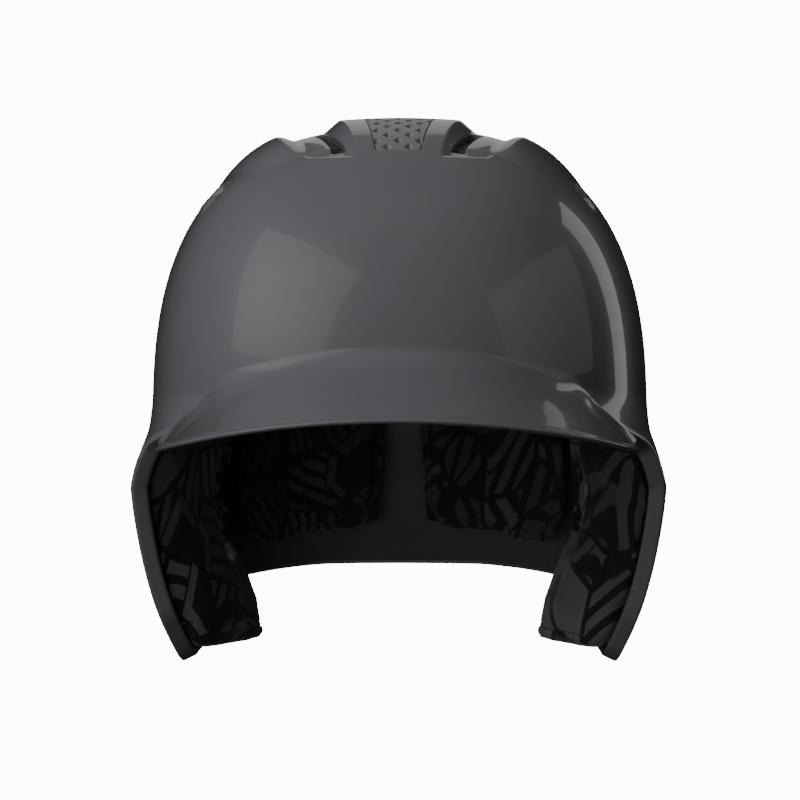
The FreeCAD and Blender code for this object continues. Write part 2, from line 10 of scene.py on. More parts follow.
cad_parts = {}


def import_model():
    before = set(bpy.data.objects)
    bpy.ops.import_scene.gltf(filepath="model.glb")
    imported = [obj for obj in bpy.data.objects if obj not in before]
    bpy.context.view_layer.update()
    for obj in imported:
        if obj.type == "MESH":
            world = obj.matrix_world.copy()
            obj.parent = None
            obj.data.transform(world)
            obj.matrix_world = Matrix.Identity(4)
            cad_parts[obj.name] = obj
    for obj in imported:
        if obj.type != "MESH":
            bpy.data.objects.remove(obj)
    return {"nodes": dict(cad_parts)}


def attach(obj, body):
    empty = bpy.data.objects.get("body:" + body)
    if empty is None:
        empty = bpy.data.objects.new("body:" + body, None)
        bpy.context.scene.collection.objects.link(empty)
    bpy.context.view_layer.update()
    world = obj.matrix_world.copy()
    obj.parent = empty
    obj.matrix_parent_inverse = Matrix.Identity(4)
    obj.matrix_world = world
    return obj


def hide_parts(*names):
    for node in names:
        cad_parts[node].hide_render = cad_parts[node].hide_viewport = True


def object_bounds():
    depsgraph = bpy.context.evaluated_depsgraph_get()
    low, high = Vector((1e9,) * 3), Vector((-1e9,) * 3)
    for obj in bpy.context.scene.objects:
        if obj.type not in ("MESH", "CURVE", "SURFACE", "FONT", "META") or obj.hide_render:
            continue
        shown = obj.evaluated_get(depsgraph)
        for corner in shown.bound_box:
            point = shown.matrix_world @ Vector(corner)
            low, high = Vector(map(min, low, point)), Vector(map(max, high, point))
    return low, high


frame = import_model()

CAD_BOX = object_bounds()
MM = 0.001
TINY = 1e-9

# Lengths below are in millimetres, and y is taken from the dome's centre.

# Dome: half axes, and the powers that round its plan and its profile
DOME_FRONT = 119.0
DOME_BACK = 122.0
DOME_HALF_WIDTH = 104.5
WIDEST_Z = 95.0
DOME_RISE = 125.0
SHELL_WALL = 3.0
HALF_WIDTHS = [(-24, 78.0), (0, 90.5), (24, 100.5), (45, 106.0), (65, 109.5), (70, 110.0),
               (75, 109.2), (84, 107.0), (95, 104.5)]  # (z, half width) under the widest line
BACK_LENGTHS = [(-24, 94.0), (0, 101.0), (28, 111.0), (60, 118.5), (95, 122.0)]  # (z, length)
ROUND_FRONT, SQUARE_FRONT, ROUND_BACK = 2.2, 3.4, 2.3
SQUARE_Z, ROUND_Z = 78.0, 108.0
WIDTH_POWER, FRONT_POWER, BACK_POWER = 2.65, 2.1, 2.25
UNROLL = 100.0  # millimetres for each radian where the side is unrolled
FRAME_STEP = 1e-3  # step of theta and v that tangents are taken over
HALVINGS = 32

# Where the form's zero is in the CAD frame
DOME_CENTRE_Y = (CAD_BOX[1][1] - DOME_BACK * MM) / MM
STAND = 3.0
FORM_PLACE = np.array([0.0, DOME_CENTRE_Y, STAND])

# Bill
BILL_CENTRE_Y = -74.0
BILL_HALF_WIDTH = 96.5
BILL_REACH = 91.0
BILL_ROUND = 2.1
BILL_TIP_Z, BILL_CORNER_Z = 98.0, 85.5
BILL_THICKNESS = 3.6
BILL_RISE, BILL_CORNER_RISE = 17.3, 4.0
BILL_FULL = 22.0  # overhang from which the bill has its whole rise
BILL_BLEND, BILL_CORNER_BLEND = 11.0, 2.0
BILL_EVENING = 9  # columns on each side that even out the rise
BILL_ENDS = (1.5, 14.0)  # degrees over which the corners close
BILL_END_ANGLE = 20.0
BILL_END_COLUMNS, BILL_COLUMNS = 26, 121
BILL_TOP_ROWS, BILL_EDGE_ROWS, BILL_UNDER_ROWS = 26, 12, 12
BILL_TOP_CROWDING, BILL_EDGE_POWER = 1.15, 0.8
BILL_OVERLAP = 0.03  # the root lies this far under the dome's skin
UNDER_OVERLAP = 1.0
BILL_ROOT_RISE = 6.0
BILL_LEAST, BILL_CORNER_LEAST = 0.05, 0.3  # overhang at the corners
EDGE_TOP, EDGE_UNDER, EDGE_BACK = 0.15, 0.45, 0.5  # shares of the bill's thickness
EDGE_MOST = 0.4  # share of the overhang that the rounded edge may take up

# Rim and openings: side outlines (y, z) or (y, z, corner radius), and the dome's plan outlines
RIM = [(-150, 113), (-119, 110.0), (-104, 105.5), (-88, 96.0), (-77, 90.0),
       (-70, 86.5, 6), (-64, 70.0, 6), (-50, 16.0, 6), (-38, -3.0, 14), (16, -3.0, 20),
       (30, 4.5, 12), (44, 15.0, 12), (60, 21.0, 12), (86, 24.0, 12), (106, 27.2, 12), (150, 28.0)]
ABOVE_RIM = [(-150, 260)] + RIM + [(150, 260)]
LIP_WIDTH = 5.0
EAR = [(-11, 39, 14), (23, 39, 14), (23, 81, 16), (-11, 81, 12)]
SIDE_VENT = [(-6, 187.5, 2), (26, 182, 2), (26, 188.5, 2), (-6, 194.5, 2)]
FRONT_VENT = [(21, -55, 1.5), (26.5, -55, 1.5), (35.5, -24, 2), (30, -24, 2)]
REAR_VENT = [(29.5, 36, 1.5), (35, 36, 1.5), (30, 64, 2), (24.5, 64, 2)]
EDGE_ROUND = 1.2
VENT_ROUND = 0.5
VENT_CLEAR = 0.5

# Lips of the cuts, as (outward, along) offsets from each cut point
HOLE_SECTION = [(-0.06, 0.35), (-0.25, 0.75), (-0.6, 1.05), (-1.2, 1.2), (-2.4, 1.2), (-2.8, 1.05),
                (-3.0, 0.4)]
VENT_SECTION = [(-0.05, 0.2), (-0.2, 0.42), (-0.6, 0.5), (-2.0, 0.5), (-4.5, 0.5)]
INSERT_SECTION = [(-0.04, 0.12), (-0.16, 0.2), (-1.2, 0.2), (-2.6, 0.2)]
# The rim's lip, as (outward on the ear flaps, outward at the brow and the nape, along)
RIM_SECTION = [(0.10, 0, 0.5), (0.45, 0, 1.0), (0.85, 0, 1.5), (1.0, 0, 2.0), (1.0, 0, 3.2),
               (0.93, -0.05, 4.1), (0.68, -0.32, 4.7), (0.25, -0.75, 4.95), (-0.5, -1.0, 5.0),
               (-2.0, -1.5, 5.0), (-3.6, -2.0, 5.0), (-4.9, -2.3, 5.0), (-5.6, -2.7, 4.85),
               (-5.9, -2.95, 4.4), (-6.0, -3.0, 3.8), (-6.0, -3.0, 2.4), (-5.4, -3.0, 1.6),
               (-4.2, -3.0, 0.9), (-3.0, -3.0, 0.2), (-3.0, -3.0, -0.8)]
FLAP_LIP_STARTS, FLAP_LIP_FADES = (-79, -66), (30, 62)

# Crown: spine rows (y, half width, rise), ridge rows (y, crest, foot, height), plan outlines
SPINE = [(-63, 17.0, 0.3), (-54, 18.2, 1.5), (-40, 20.6, 3.3), (-22, 24.0, 4.5), (0, 26.4, 4.9),
         (25, 26.6, 5.0), (48, 23.5, 4.2), (68, 18.5, 2.6), (86, 12.5, 0.2)]
SPINE_LEAN = 1.15
SPINE_CROWN = 1.1
SPINE_SHOULDER = 0.3
SPINE_BLEND = 0.25
SPINE_SAMPLES, WALL_SAMPLES, WALL_REACH = 120, 161, 16.0
WALL_SINK = 0.05
RIDGES = [(-58, 42, 54, -2.0), (-47, 45, 60, 1.6), (-34, 48, 67, 3.2), (-15, 52, 75, 4.1),
          (8, 56, 82, 4.4), (35, 57, 81, 3.9), (62, 51, 72, 2.3), (88, 40, 56, -2.0)]
RIDGE_INNER = 8.0
STEEPEST = 2.0
VALLEY = [(-20, -61.5, 6), (20, -61.5, 6), (35, -57, 8), (44, -44, 12), (50, 0, 20), (48, 50, 20),
          (26, 88, 12), (-26, 88, 12), (-48, 50, 20), (-50, 0, 20), (-44, -44, 12), (-35, -57, 8)]
VALLEY_DEPTH = 1.3
LEDGE_WIDTH = 1.0
LEDGE_BLEND = (0.02, 1.0)
HIDDEN = 9.0  # how far a height is sunk where it mustn't show
RELIEF_FROM = 172.0

# Small scoop above each temple, seen from the side as (y, z)
BROW_PLACE, BROW_HALF, BROW_RISE = (-33.0, 185.5), (5.0, 3.6), 0.9
SCOOP_PLACE, SCOOP_HALF, SCOOP_DEPTH = (-33.0, 192.0), (6.5, 2.6), 2.4
SCOOP_FLAT = 0.7

# Grids: columns, row spacing near the crown and lower down, length of the closely spaced part
OUTSIDE_GRID = (480, 0.8, 2.4, 96.0)
INSIDE_GRID = (220, 3.0, 3.0, 118.0)
LOWEST_V, HIGHEST_V = -0.56, 0.998
PATH_STEPS = (600, 3000)
FINE_STEP = 0.5
# How far grid points move to reach a cut or a crease
RIM_SNAP, INSIDE_SNAP, SLOT_SNAP, VENT_SNAP = 1.42, 2.1, 0.8, 0.6
VALLEY_SNAP, SPINE_SNAP = 0.33, 0.36
TRIM_MARGIN, CREASE_MARGIN = 12.0, 3.0
FAR = 99.0  # stands for points that no cut is near
ON_LINE = 1e-4
ARC_SHARE = 0.49  # part of a side that a rounded corner may take up
PLAN_FROM = WIDEST_Z + 20
SIDE_TO = WIDEST_Z + 115

# Vent insert: plan half widths (y, half width), gap to the shell, dimples
INSERT_HALF = [(-60, 8.8), (-5, 17.0), (30, 17.0), (72, 8.8)]
INSERT_GAP = 0.3
INSERT_SEAT = 0.2
INSERT_CORNER = 1.5
INSERT_SINK = 0.05
INSERT_GRID = 0.3
INSERT_EDGE = 0.3
INSERT_SNAP = 0.55  # share of the grid's spacing
INSERT_LIP = [(0.2, 0.08), (0.3, 0.3), (0.3, 1.5), (0.3, 2.8)]  # (outward, down)
DIMPLE_ACROSS, DIMPLE_ALONG = 8.8, 4.7
DIMPLE_START, DIMPLE_MARGIN, DIMPLE_COLUMNS = 2.4, 0.9, 3
DIMPLE_HALF, DIMPLE_WALL, DIMPLE_DEPTH = 2.15, 1.1, 2.0
DIMPLE_SLANT = 0.9

# Pads: outlines as (y, z), (x, z) or (x, y) with corner radii, and their fabric's build
JAW_PAD = [(-70, 87, 5), (-66, 70, 8), (-52, 13, 8), (-37, 1.5, 8), (14, 2.5, 12),
           (29, 15, 10), (31, 60, 14), (27, 93, 8), (-40, 93, 10)]
FOREHEAD_PAD = [(-64, 121, 14), (64, 121, 14), (54, 160, 16), (-54, 160, 16)]
CROWN_PAD = [(-32, -40, 14), (32, -40, 14), (34, 36, 16), (-34, 36, 16)]
TEMPLE_PAD = [(-50, 112, 10), (30, 106, 12), (34, 150, 16), (-38, 150, 16)]
REAR_PAD = [(7.5, 48, 6), (14, 45, 6), (68, 37, 9), (76, 60, 9), (70, 116, 16), (5.5, 116, 8)]
JAW_SEAM, REAR_SEAM, PLAIN_SEAM = 6.5, 6.0, 5.5
VOXEL = 4.0
COVER = 1.2
SWELL_LIMIT, BACK_LIMIT = 2.0, 0.3
SWELL_FRAMES = 20
SWELL_PRESSURE = 4.0
BACK_TURN, FACE_TURN = (0.3, 0.8), (0.1, 0.45)  # outward shares of the back and of the face
SEAM_WIDTH, SEAM_DEPTH = 1.1, 0.8
STITCH_LENGTH, STITCH_STEP, STITCH_RADIUS = 2.3, 3.4, 0.32
STITCH_SIDES = 6
PAD_LEVELS = 2
# Rings of a stitch: place along it, thickness, lift out of the seam
STITCH_RINGS = [(-0.5, 0.35, -0.15), (-0.32, 0.9, 0.12), (0, 1.0, 0.22), (0.32, 0.9, 0.12),
                (0.5, 0.35, -0.15)]
NUDGE, SHRINK_ROUNDS = 0.5, 8
SIDE_RAY, CROWN_RAY = 20.0, 120.0  # where rays that look for a pad's face start
PLANES = {"yz": (1, 2), "xz": (0, 2), "xy": (0, 1)}

# Colours, and the print on the fabric
SHELL_DARK = (0.060, 0.062, 0.067)
SHELL_LIGHT = (0.064, 0.066, 0.071)
SATIN_DARK = (0.072, 0.073, 0.077)
SATIN_LIGHT = (0.090, 0.091, 0.095)
# Bead foam: FOAM_DARK is painted shade in the crevices where the beads meet, FOAM_LIGHT their middles
FOAM_DARK = (0.006, 0.006, 0.007)
FOAM_LIGHT = (0.030, 0.031, 0.034)
THREAD_DARK = (0.012, 0.012, 0.013)
THREAD_LIGHT = (0.045, 0.045, 0.05)
HOOK_DARK = (0.008, 0.008, 0.009)
HOOK_LIGHT = (0.05, 0.05, 0.055)
JAW_BLACK, JAW_SHARD = (0.007, 0.007, 0.0075), (0.092, 0.090, 0.089)
# Print colours of the pads inside the dome: the jaw pads' print dimmed, painted shade for the shade
# inside the dome
INSIDE_SHADED_BLACK, INSIDE_SHADED_SHARD = (0.008, 0.010, 0.012), (0.050, 0.056, 0.062)
FLOOR_DARK, FLOOR_LIGHT = (0.78, 0.78, 0.78), (0.80, 0.80, 0.80)
WHITE = (1, 1, 1)
SHARD_SCALE = (38.0, 38.0, 34.0)
SHARD_GAP = (0.035, 0.055)
BAR_FROM, BAR_TO, BAR_BEND, BAR_SOFT = -0.24, -0.04, 0.8, 0.01
HATCH_LEAN, HATCH_COUNT, HATCH_START = 0.5, 3.6, 0.06
HATCH_EDGE = (0.20, 0.24)
SOLID_FROM = 0.88

# Studio, in metres
AIM = Vector((0, 0, 0.12))
LENS, SENSOR = 105.3, 36.0
CAMERA_AIM = Vector((0, DOME_CENTRE_Y * MM, 0.108))
CAMERA_DISTANCE, CAMERA_TURN = 1.0, 0.7
COVE = [(1.2, 0), (1.8, 0.03), (2.3, 0.2), (2.6, 0.6), (2.7, 1.2), (2.7, 3.2)]  # (radius, height)
COVE_SIDES = 64
COVE_DROP = 0.0005
FLOOR_GLOW = 12.0
FILL_FROM = (-0.35, -0.75, 0.55)
FILL_SPAN = (-0.5, 0.9)
FILL_LOW, FILL_HIGH = 0.01, 0.30
FILL_COLOUR = (0.95, 0.97, 1.0, 1)
# Lights: name, azimuth, elevation, distance, size, power, and whether the light only shows as a
# reflection; the others light the helmet without showing in it
LIGHTS = [("key", -68, 34, 1.9, (1.2, 1.2), 37, False),
          ("front", -12, -4, 1.9, (0.9, 0.7), 6, False),
          ("low_left", -50, -2, 1.9, (0.6, 0.6), 5, False),
          ("top", -10, 82, 1.6, (0.9, 0.9), 7, False),
          ("card_left", -56, 36, 1.5, (1.4, 1.15), 2.1, True),
          ("card_wide", 74, 25, 1.5, (1.5, 0.95), 1.0, True),
          ("card_right", 124, 20, 1.5, (0.34, 1.15), 1.1, True),
          ("card_back", 180, 34, 1.5, (0.5, 1.1), 0.8, True),
          ("back", 165, 45, 1.9, (1.2, 1.2), 20, False)]


# Form --------------------

def smooth_curve(x, table):
    """Values at x of a curve through the table's points that never overshoots them."""
    xs = np.array([p[0] for p in table], float)
    ys = np.array([p[1] for p in table], float)
    slopes = np.diff(ys) / np.diff(xs)
    product = slopes[:-1] * slopes[1:]
    total = np.where(product > 0, slopes[:-1] + slopes[1:], 1.0)
    middle = np.where(product > 0, 2 * product / total, 0.0)
    tangents = np.concatenate([slopes[:1], middle, [0.0]])
    x = np.clip(x, xs[0], xs[-1])
    i = np.clip(np.searchsorted(xs, x, side="right") - 1, 0, len(slopes) - 1)
    span = xs[i + 1] - xs[i]
    t = (x - xs[i]) / span
    rise = 3 * t ** 2 - 2 * t ** 3
    return (ys[i] + (ys[i + 1] - ys[i]) * rise + span * (t - 2 * t ** 2 + t ** 3) * tangents[i]
            + span * (t ** 3 - t ** 2) * tangents[i + 1])


def ease(x, low, high):
    """0 at low, 1 at high, smooth between."""
    t = np.clip((x - low) / (high - low), 0.0, 1.0)
    return t * t * (3 - 2 * t)


def closing(z, power):
    """Share of a half axis that is left at height z of the dome."""
    s = np.clip((z - WIDEST_Z) / DOME_RISE, 0.0, 1.0)
    return np.maximum(0.0, 1 - s ** power) ** (1 / power)


def plan_curve(z, ahead):
    """Half width, length and rounding power of the plan at height z, before or behind the axis."""
    low = z < WIDEST_Z
    half = np.where(low, smooth_curve(z, HALF_WIDTHS), DOME_HALF_WIDTH * closing(z, WIDTH_POWER))
    front = np.where(low, DOME_FRONT, DOME_FRONT * closing(z, FRONT_POWER))
    back = np.where(low, smooth_curve(z, BACK_LENGTHS), DOME_BACK * closing(z, BACK_POWER))
    front_power = SQUARE_FRONT + (ROUND_FRONT - SQUARE_FRONT) * ease(z, SQUARE_Z, ROUND_Z)
    power = np.where(ahead, front_power, ROUND_BACK)
    along = np.where(ahead, front, back)
    return np.maximum(half, TINY), np.maximum(along, TINY), power


def plan_radius(theta, z):
    """Distance of the outer surface from the dome's axis."""
    c, s = np.abs(np.cos(theta)), np.sin(theta)
    half, along, power = plan_curve(z, s < 0)
    return ((c / half) ** power + (np.abs(s) / along) ** power) ** (-1 / power)


def form_height(v):
    """Height at v, which is 0 where the dome is widest and 1 at the crown."""
    v = np.asarray(v, float)
    return np.where(v < 0, WIDEST_Z + DOME_RISE * math.pi / 2 * v,
                    WIDEST_Z + DOME_RISE * np.sin(np.maximum(v, 0) * math.pi / 2))


def form_v(z):
    """The v of points at height z."""
    z = np.asarray(z, float)
    up = np.arcsin(np.clip((z - WIDEST_Z) / DOME_RISE, 0, 1)) * 2 / math.pi
    return np.where(z < WIDEST_Z, (z - WIDEST_Z) / (DOME_RISE * math.pi / 2), up)


def form_point(theta, v):
    """Points of the outer surface, with y from the dome's centre."""
    z = form_height(v)
    r = plan_radius(theta, z)
    return np.stack([r * np.cos(theta), r * np.sin(theta), z], -1)


def normalized(a):
    """The same directions, with length 1."""
    return a / np.maximum(np.linalg.norm(a, axis=-1, keepdims=True), TINY)


def form_normal(theta, v):
    """Unit normals of the outer surface."""
    around = form_point(theta + FRAME_STEP, v) - form_point(theta - FRAME_STEP, v)
    above = np.minimum(v + FRAME_STEP, 1 - FRAME_STEP / 2)
    up = form_point(theta, above) - form_point(theta, v - FRAME_STEP)
    return normalized(np.cross(around, up))


def crown_height(x, y):
    """Height of the plain dome over points of the plan."""
    theta, r = np.arctan2(y, x), np.hypot(x, y)
    low, high = np.zeros_like(r), np.ones_like(r)
    for _ in range(HALVINGS):
        mid = (low + high) / 2
        outside = plan_radius(theta, form_height(mid)) > r
        low, high = np.where(outside, mid, low), np.where(outside, high, mid)
    return form_height(low)


# Outlines --------------------

def corner_arc(here, before, after, radius, step):
    """Points along a rounded corner; the radius shrinks where a side is short."""
    back, on = before - here, after - here
    lengths = np.linalg.norm(back), np.linalg.norm(on)
    back, on = back / lengths[0], on / lengths[1]
    half = math.acos(np.clip(back @ on, -1, 1)) / 2
    reach = min(radius / math.tan(half), ARC_SHARE * lengths[0], ARC_SHARE * lengths[1])
    radius = reach * math.tan(half)
    centre = here + (back + on) / np.linalg.norm(back + on) * (radius / math.sin(half))
    start, end = here + back * reach - centre, here + on * reach - centre
    turn = math.atan2(start[0] * end[1] - start[1] * end[0], start @ end)
    steps = max(3, int(abs(turn) * radius / step) + 1)
    arc = []
    for i in range(steps + 1):
        a = turn * i / steps
        c, s = math.cos(a), math.sin(a)
        arc.append(centre + np.array([start[0] * c - start[1] * s, start[0] * s + start[1] * c]))
    return arc


def rounded(points, step=1.0):
    """Dense closed outline through points (u, w) or (u, w, corner radius)."""
    corners = [np.array(point[:2], float) for point in points]
    out = []
    for k, (here, point) in enumerate(zip(corners, points)):
        if len(point) > 2:
            out += corner_arc(here, corners[k - 1], corners[(k + 1) % len(points)], point[2], step)
        else:
            out.append(here)
    dense = []
    for p, q in zip(out, out[1:] + out[:1]):
        n = max(1, int(np.linalg.norm(q - p) / (2 * step)))
        dense += [p + (q - p) * i / n for i in range(n)]
    return np.array(dense)


def side_param(points):
    """Side-view points (y, z) as points of the unrolled side (UNROLL * theta, z)."""
    y, z = points[:, 0], points[:, 1]
    half, along, power = plan_curve(z, y < 0)
    x = half * np.maximum(0, 1 - np.minimum(1, np.abs(y) / along) ** power) ** (1 / power)
    theta = np.arctan2(np.clip(y, -along, along), x)
    beyond = np.sign(y) * np.maximum(np.abs(y) - along, 0.0)
    return np.stack([UNROLL * theta + beyond, z], -1)


def nearest_points(points, outline, closed):
    """The outline's nearest point to each point, and how far away it is."""
    starts, ends = outline, np.roll(outline, -1, axis=0)
    if not closed:
        starts, ends = starts[:-1], ends[:-1]
    best = np.full(len(points), np.inf)
    nearest = np.zeros_like(points)
    for p, q in zip(starts, ends):
        line = q - p
        t = np.clip(((points - p) @ line) / max(line @ line, TINY), 0, 1)
        foot = p + t[:, None] * line
        distance = np.linalg.norm(points - foot, axis=1)
        closer = distance < best
        best[closer] = distance[closer]
        nearest[closer] = foot[closer]
    return nearest, best


def within(points, outline):
    """Whether each point is inside the outline."""
    inside = np.zeros(len(points), bool)
    for p, q in zip(outline, np.roll(outline, -1, axis=0)):
        crosses = (p[1] > points[:, 1]) != (q[1] > points[:, 1])
        rise = q[1] - p[1]
        share = (points[:, 1] - p[1]) / (rise if abs(rise) > TINY else TINY)
        inside ^= crosses & (points[:, 0] < p[0] + share * (q[0] - p[0]))
    return inside


def signed_distance(points, outline, closed=True):
    """Distance inside an outline (negative outside), its nearest point, and the way it grows."""
    nearest, best = nearest_points(points, outline, closed)
    sign = np.where(within(points, outline), 1.0, -1.0)
    return best * sign, nearest, normalized((points - nearest) * sign[:, None])


# Mesh building --------------------

def without_loose(points, faces):
    """The points some face uses, and the faces numbered to match."""
    used = np.unique(np.fromiter(chain.from_iterable(faces), int))
    place = np.zeros(len(points), int)
    place[used] = np.arange(len(used))
    place = place.tolist()
    return points[used], [[place[i] for i in face] for face in faces]


def shade_smooth(mesh):
    """Shades all of a mesh's faces smooth."""
    mesh.polygons.foreach_set("use_smooth", [True] * len(mesh.polygons))


def link_object(name, data):
    """A new object in the scene."""
    obj = bpy.data.objects.new(name, data)
    bpy.context.scene.collection.objects.link(obj)
    return obj


def make_object(name, points, faces):
    """Mesh object from points in millimetres, with y from the dome's centre."""
    points, faces = without_loose(np.asarray(points, float), faces)
    mesh = bpy.data.meshes.new(name)
    mesh.from_pydata(((points + FORM_PLACE) * MM).tolist(), [], faces)
    mesh.validate()
    mesh.update()
    shade_smooth(mesh)
    return link_object(name, mesh)


# Crown --------------------

def smooth_max(a, b, blend):
    """The larger of two heights, rounded where they meet."""
    h = np.maximum(blend - np.abs(a - b), 0.0) / blend
    return np.maximum(a, b) + h * h * blend / 4


def column(table, index):
    """One column of a table over its first column."""
    return [(row[0], row[index]) for row in table]


def ridge_height(wide, y, dome):
    """Rise of the shoulder ridges over the dome, or a sunk height where there are none."""
    slope = np.minimum(dome - crown_height(wide + 1, y), STEEPEST)
    crest, foot, tall = (smooth_curve(y, column(RIDGES, i)) for i in (1, 2, 3))
    s = np.clip((wide - crest) / (foot - crest), 0, 1)
    outer = tall * (1 - s * s) * np.sqrt(1 + slope * slope)
    inner = tall * ease(wide, crest - RIDGE_INNER, crest)
    return np.where(tall > 0, np.where(wide > crest, outer, inner), -HIDDEN)


def raised_height(x, y):
    """Height of the moulded crown, with its valley, shoulder ridges and spine."""
    wide = np.abs(x)
    dome = crown_height(wide, y)
    inside = signed_distance(np.stack([wide, y], -1), rounded(VALLEY))[0]
    floor = dome - VALLEY_DEPTH * np.clip(inside / LEDGE_WIDTH, 0, 1)
    ridge = dome + ridge_height(wide, y, dome)
    ground = smooth_max(floor, ridge, np.clip(dome - floor, *LEDGE_BLEND))
    on_spine = (y > SPINE[0][0]) & (y < SPINE[-1][0])
    spine = np.where(on_spine, spine_height(wide, y), ground - HIDDEN)
    return smooth_max(ground, spine, SPINE_BLEND)


def spine_height(wide, y):
    """Height of the spine's gently crowned top and its leaning walls."""
    half, rise = (smooth_curve(y, column(SPINE, i)) for i in (1, 2))
    ridge_line = crown_height(np.zeros_like(y), y) + rise
    top = ridge_line - SPINE_CROWN * (wide / half) ** 2
    wall = ridge_line - SPINE_CROWN - (wide - half) / SPINE_LEAN
    return -smooth_max(-top, -wall, SPINE_SHOULDER)


def spine_line(share):
    """Plan line along the spine's top edge (share 0) or along its wall's foot (share 1)."""
    y = np.linspace(SPINE[0][0] + FINE_STEP, SPINE[-1][0] - FINE_STEP, SPINE_SAMPLES)
    half = smooth_curve(y, column(SPINE, 1))
    x = np.linspace(0, WALL_REACH, WALL_SAMPLES) + half[:, None]
    flat_x, flat_y = x.ravel(), np.repeat(y, WALL_SAMPLES)
    gap = spine_height(flat_x, flat_y) - raised_height(flat_x, flat_y) + WALL_SINK
    under = gap.reshape(x.shape) < 0
    foot = np.where(under.any(1), x[np.arange(len(y)), under.argmax(1)], half)
    return np.stack([half + share * (foot - half), y], -1)


def box_share(points, centre, half):
    """1 inside a box seen from the side, 0 outside it, with short slopes."""
    away = np.abs(points[:, 1:] - np.array(centre)) / np.array(half)
    return 1 - ease(away.max(1), SCOOP_FLAT, 1.0)


def vent_brow(points):
    """Rise of the small scoop on each side: a raised facet with a hollow above it."""
    rise = BROW_RISE * box_share(points, BROW_PLACE, BROW_HALF)
    dip = SCOOP_DEPTH * box_share(points, SCOOP_PLACE, SCOOP_HALF)
    return (rise - dip) * (np.abs(points[:, 0]) > DOME_HALF_WIDTH / 2)


# Skin --------------------

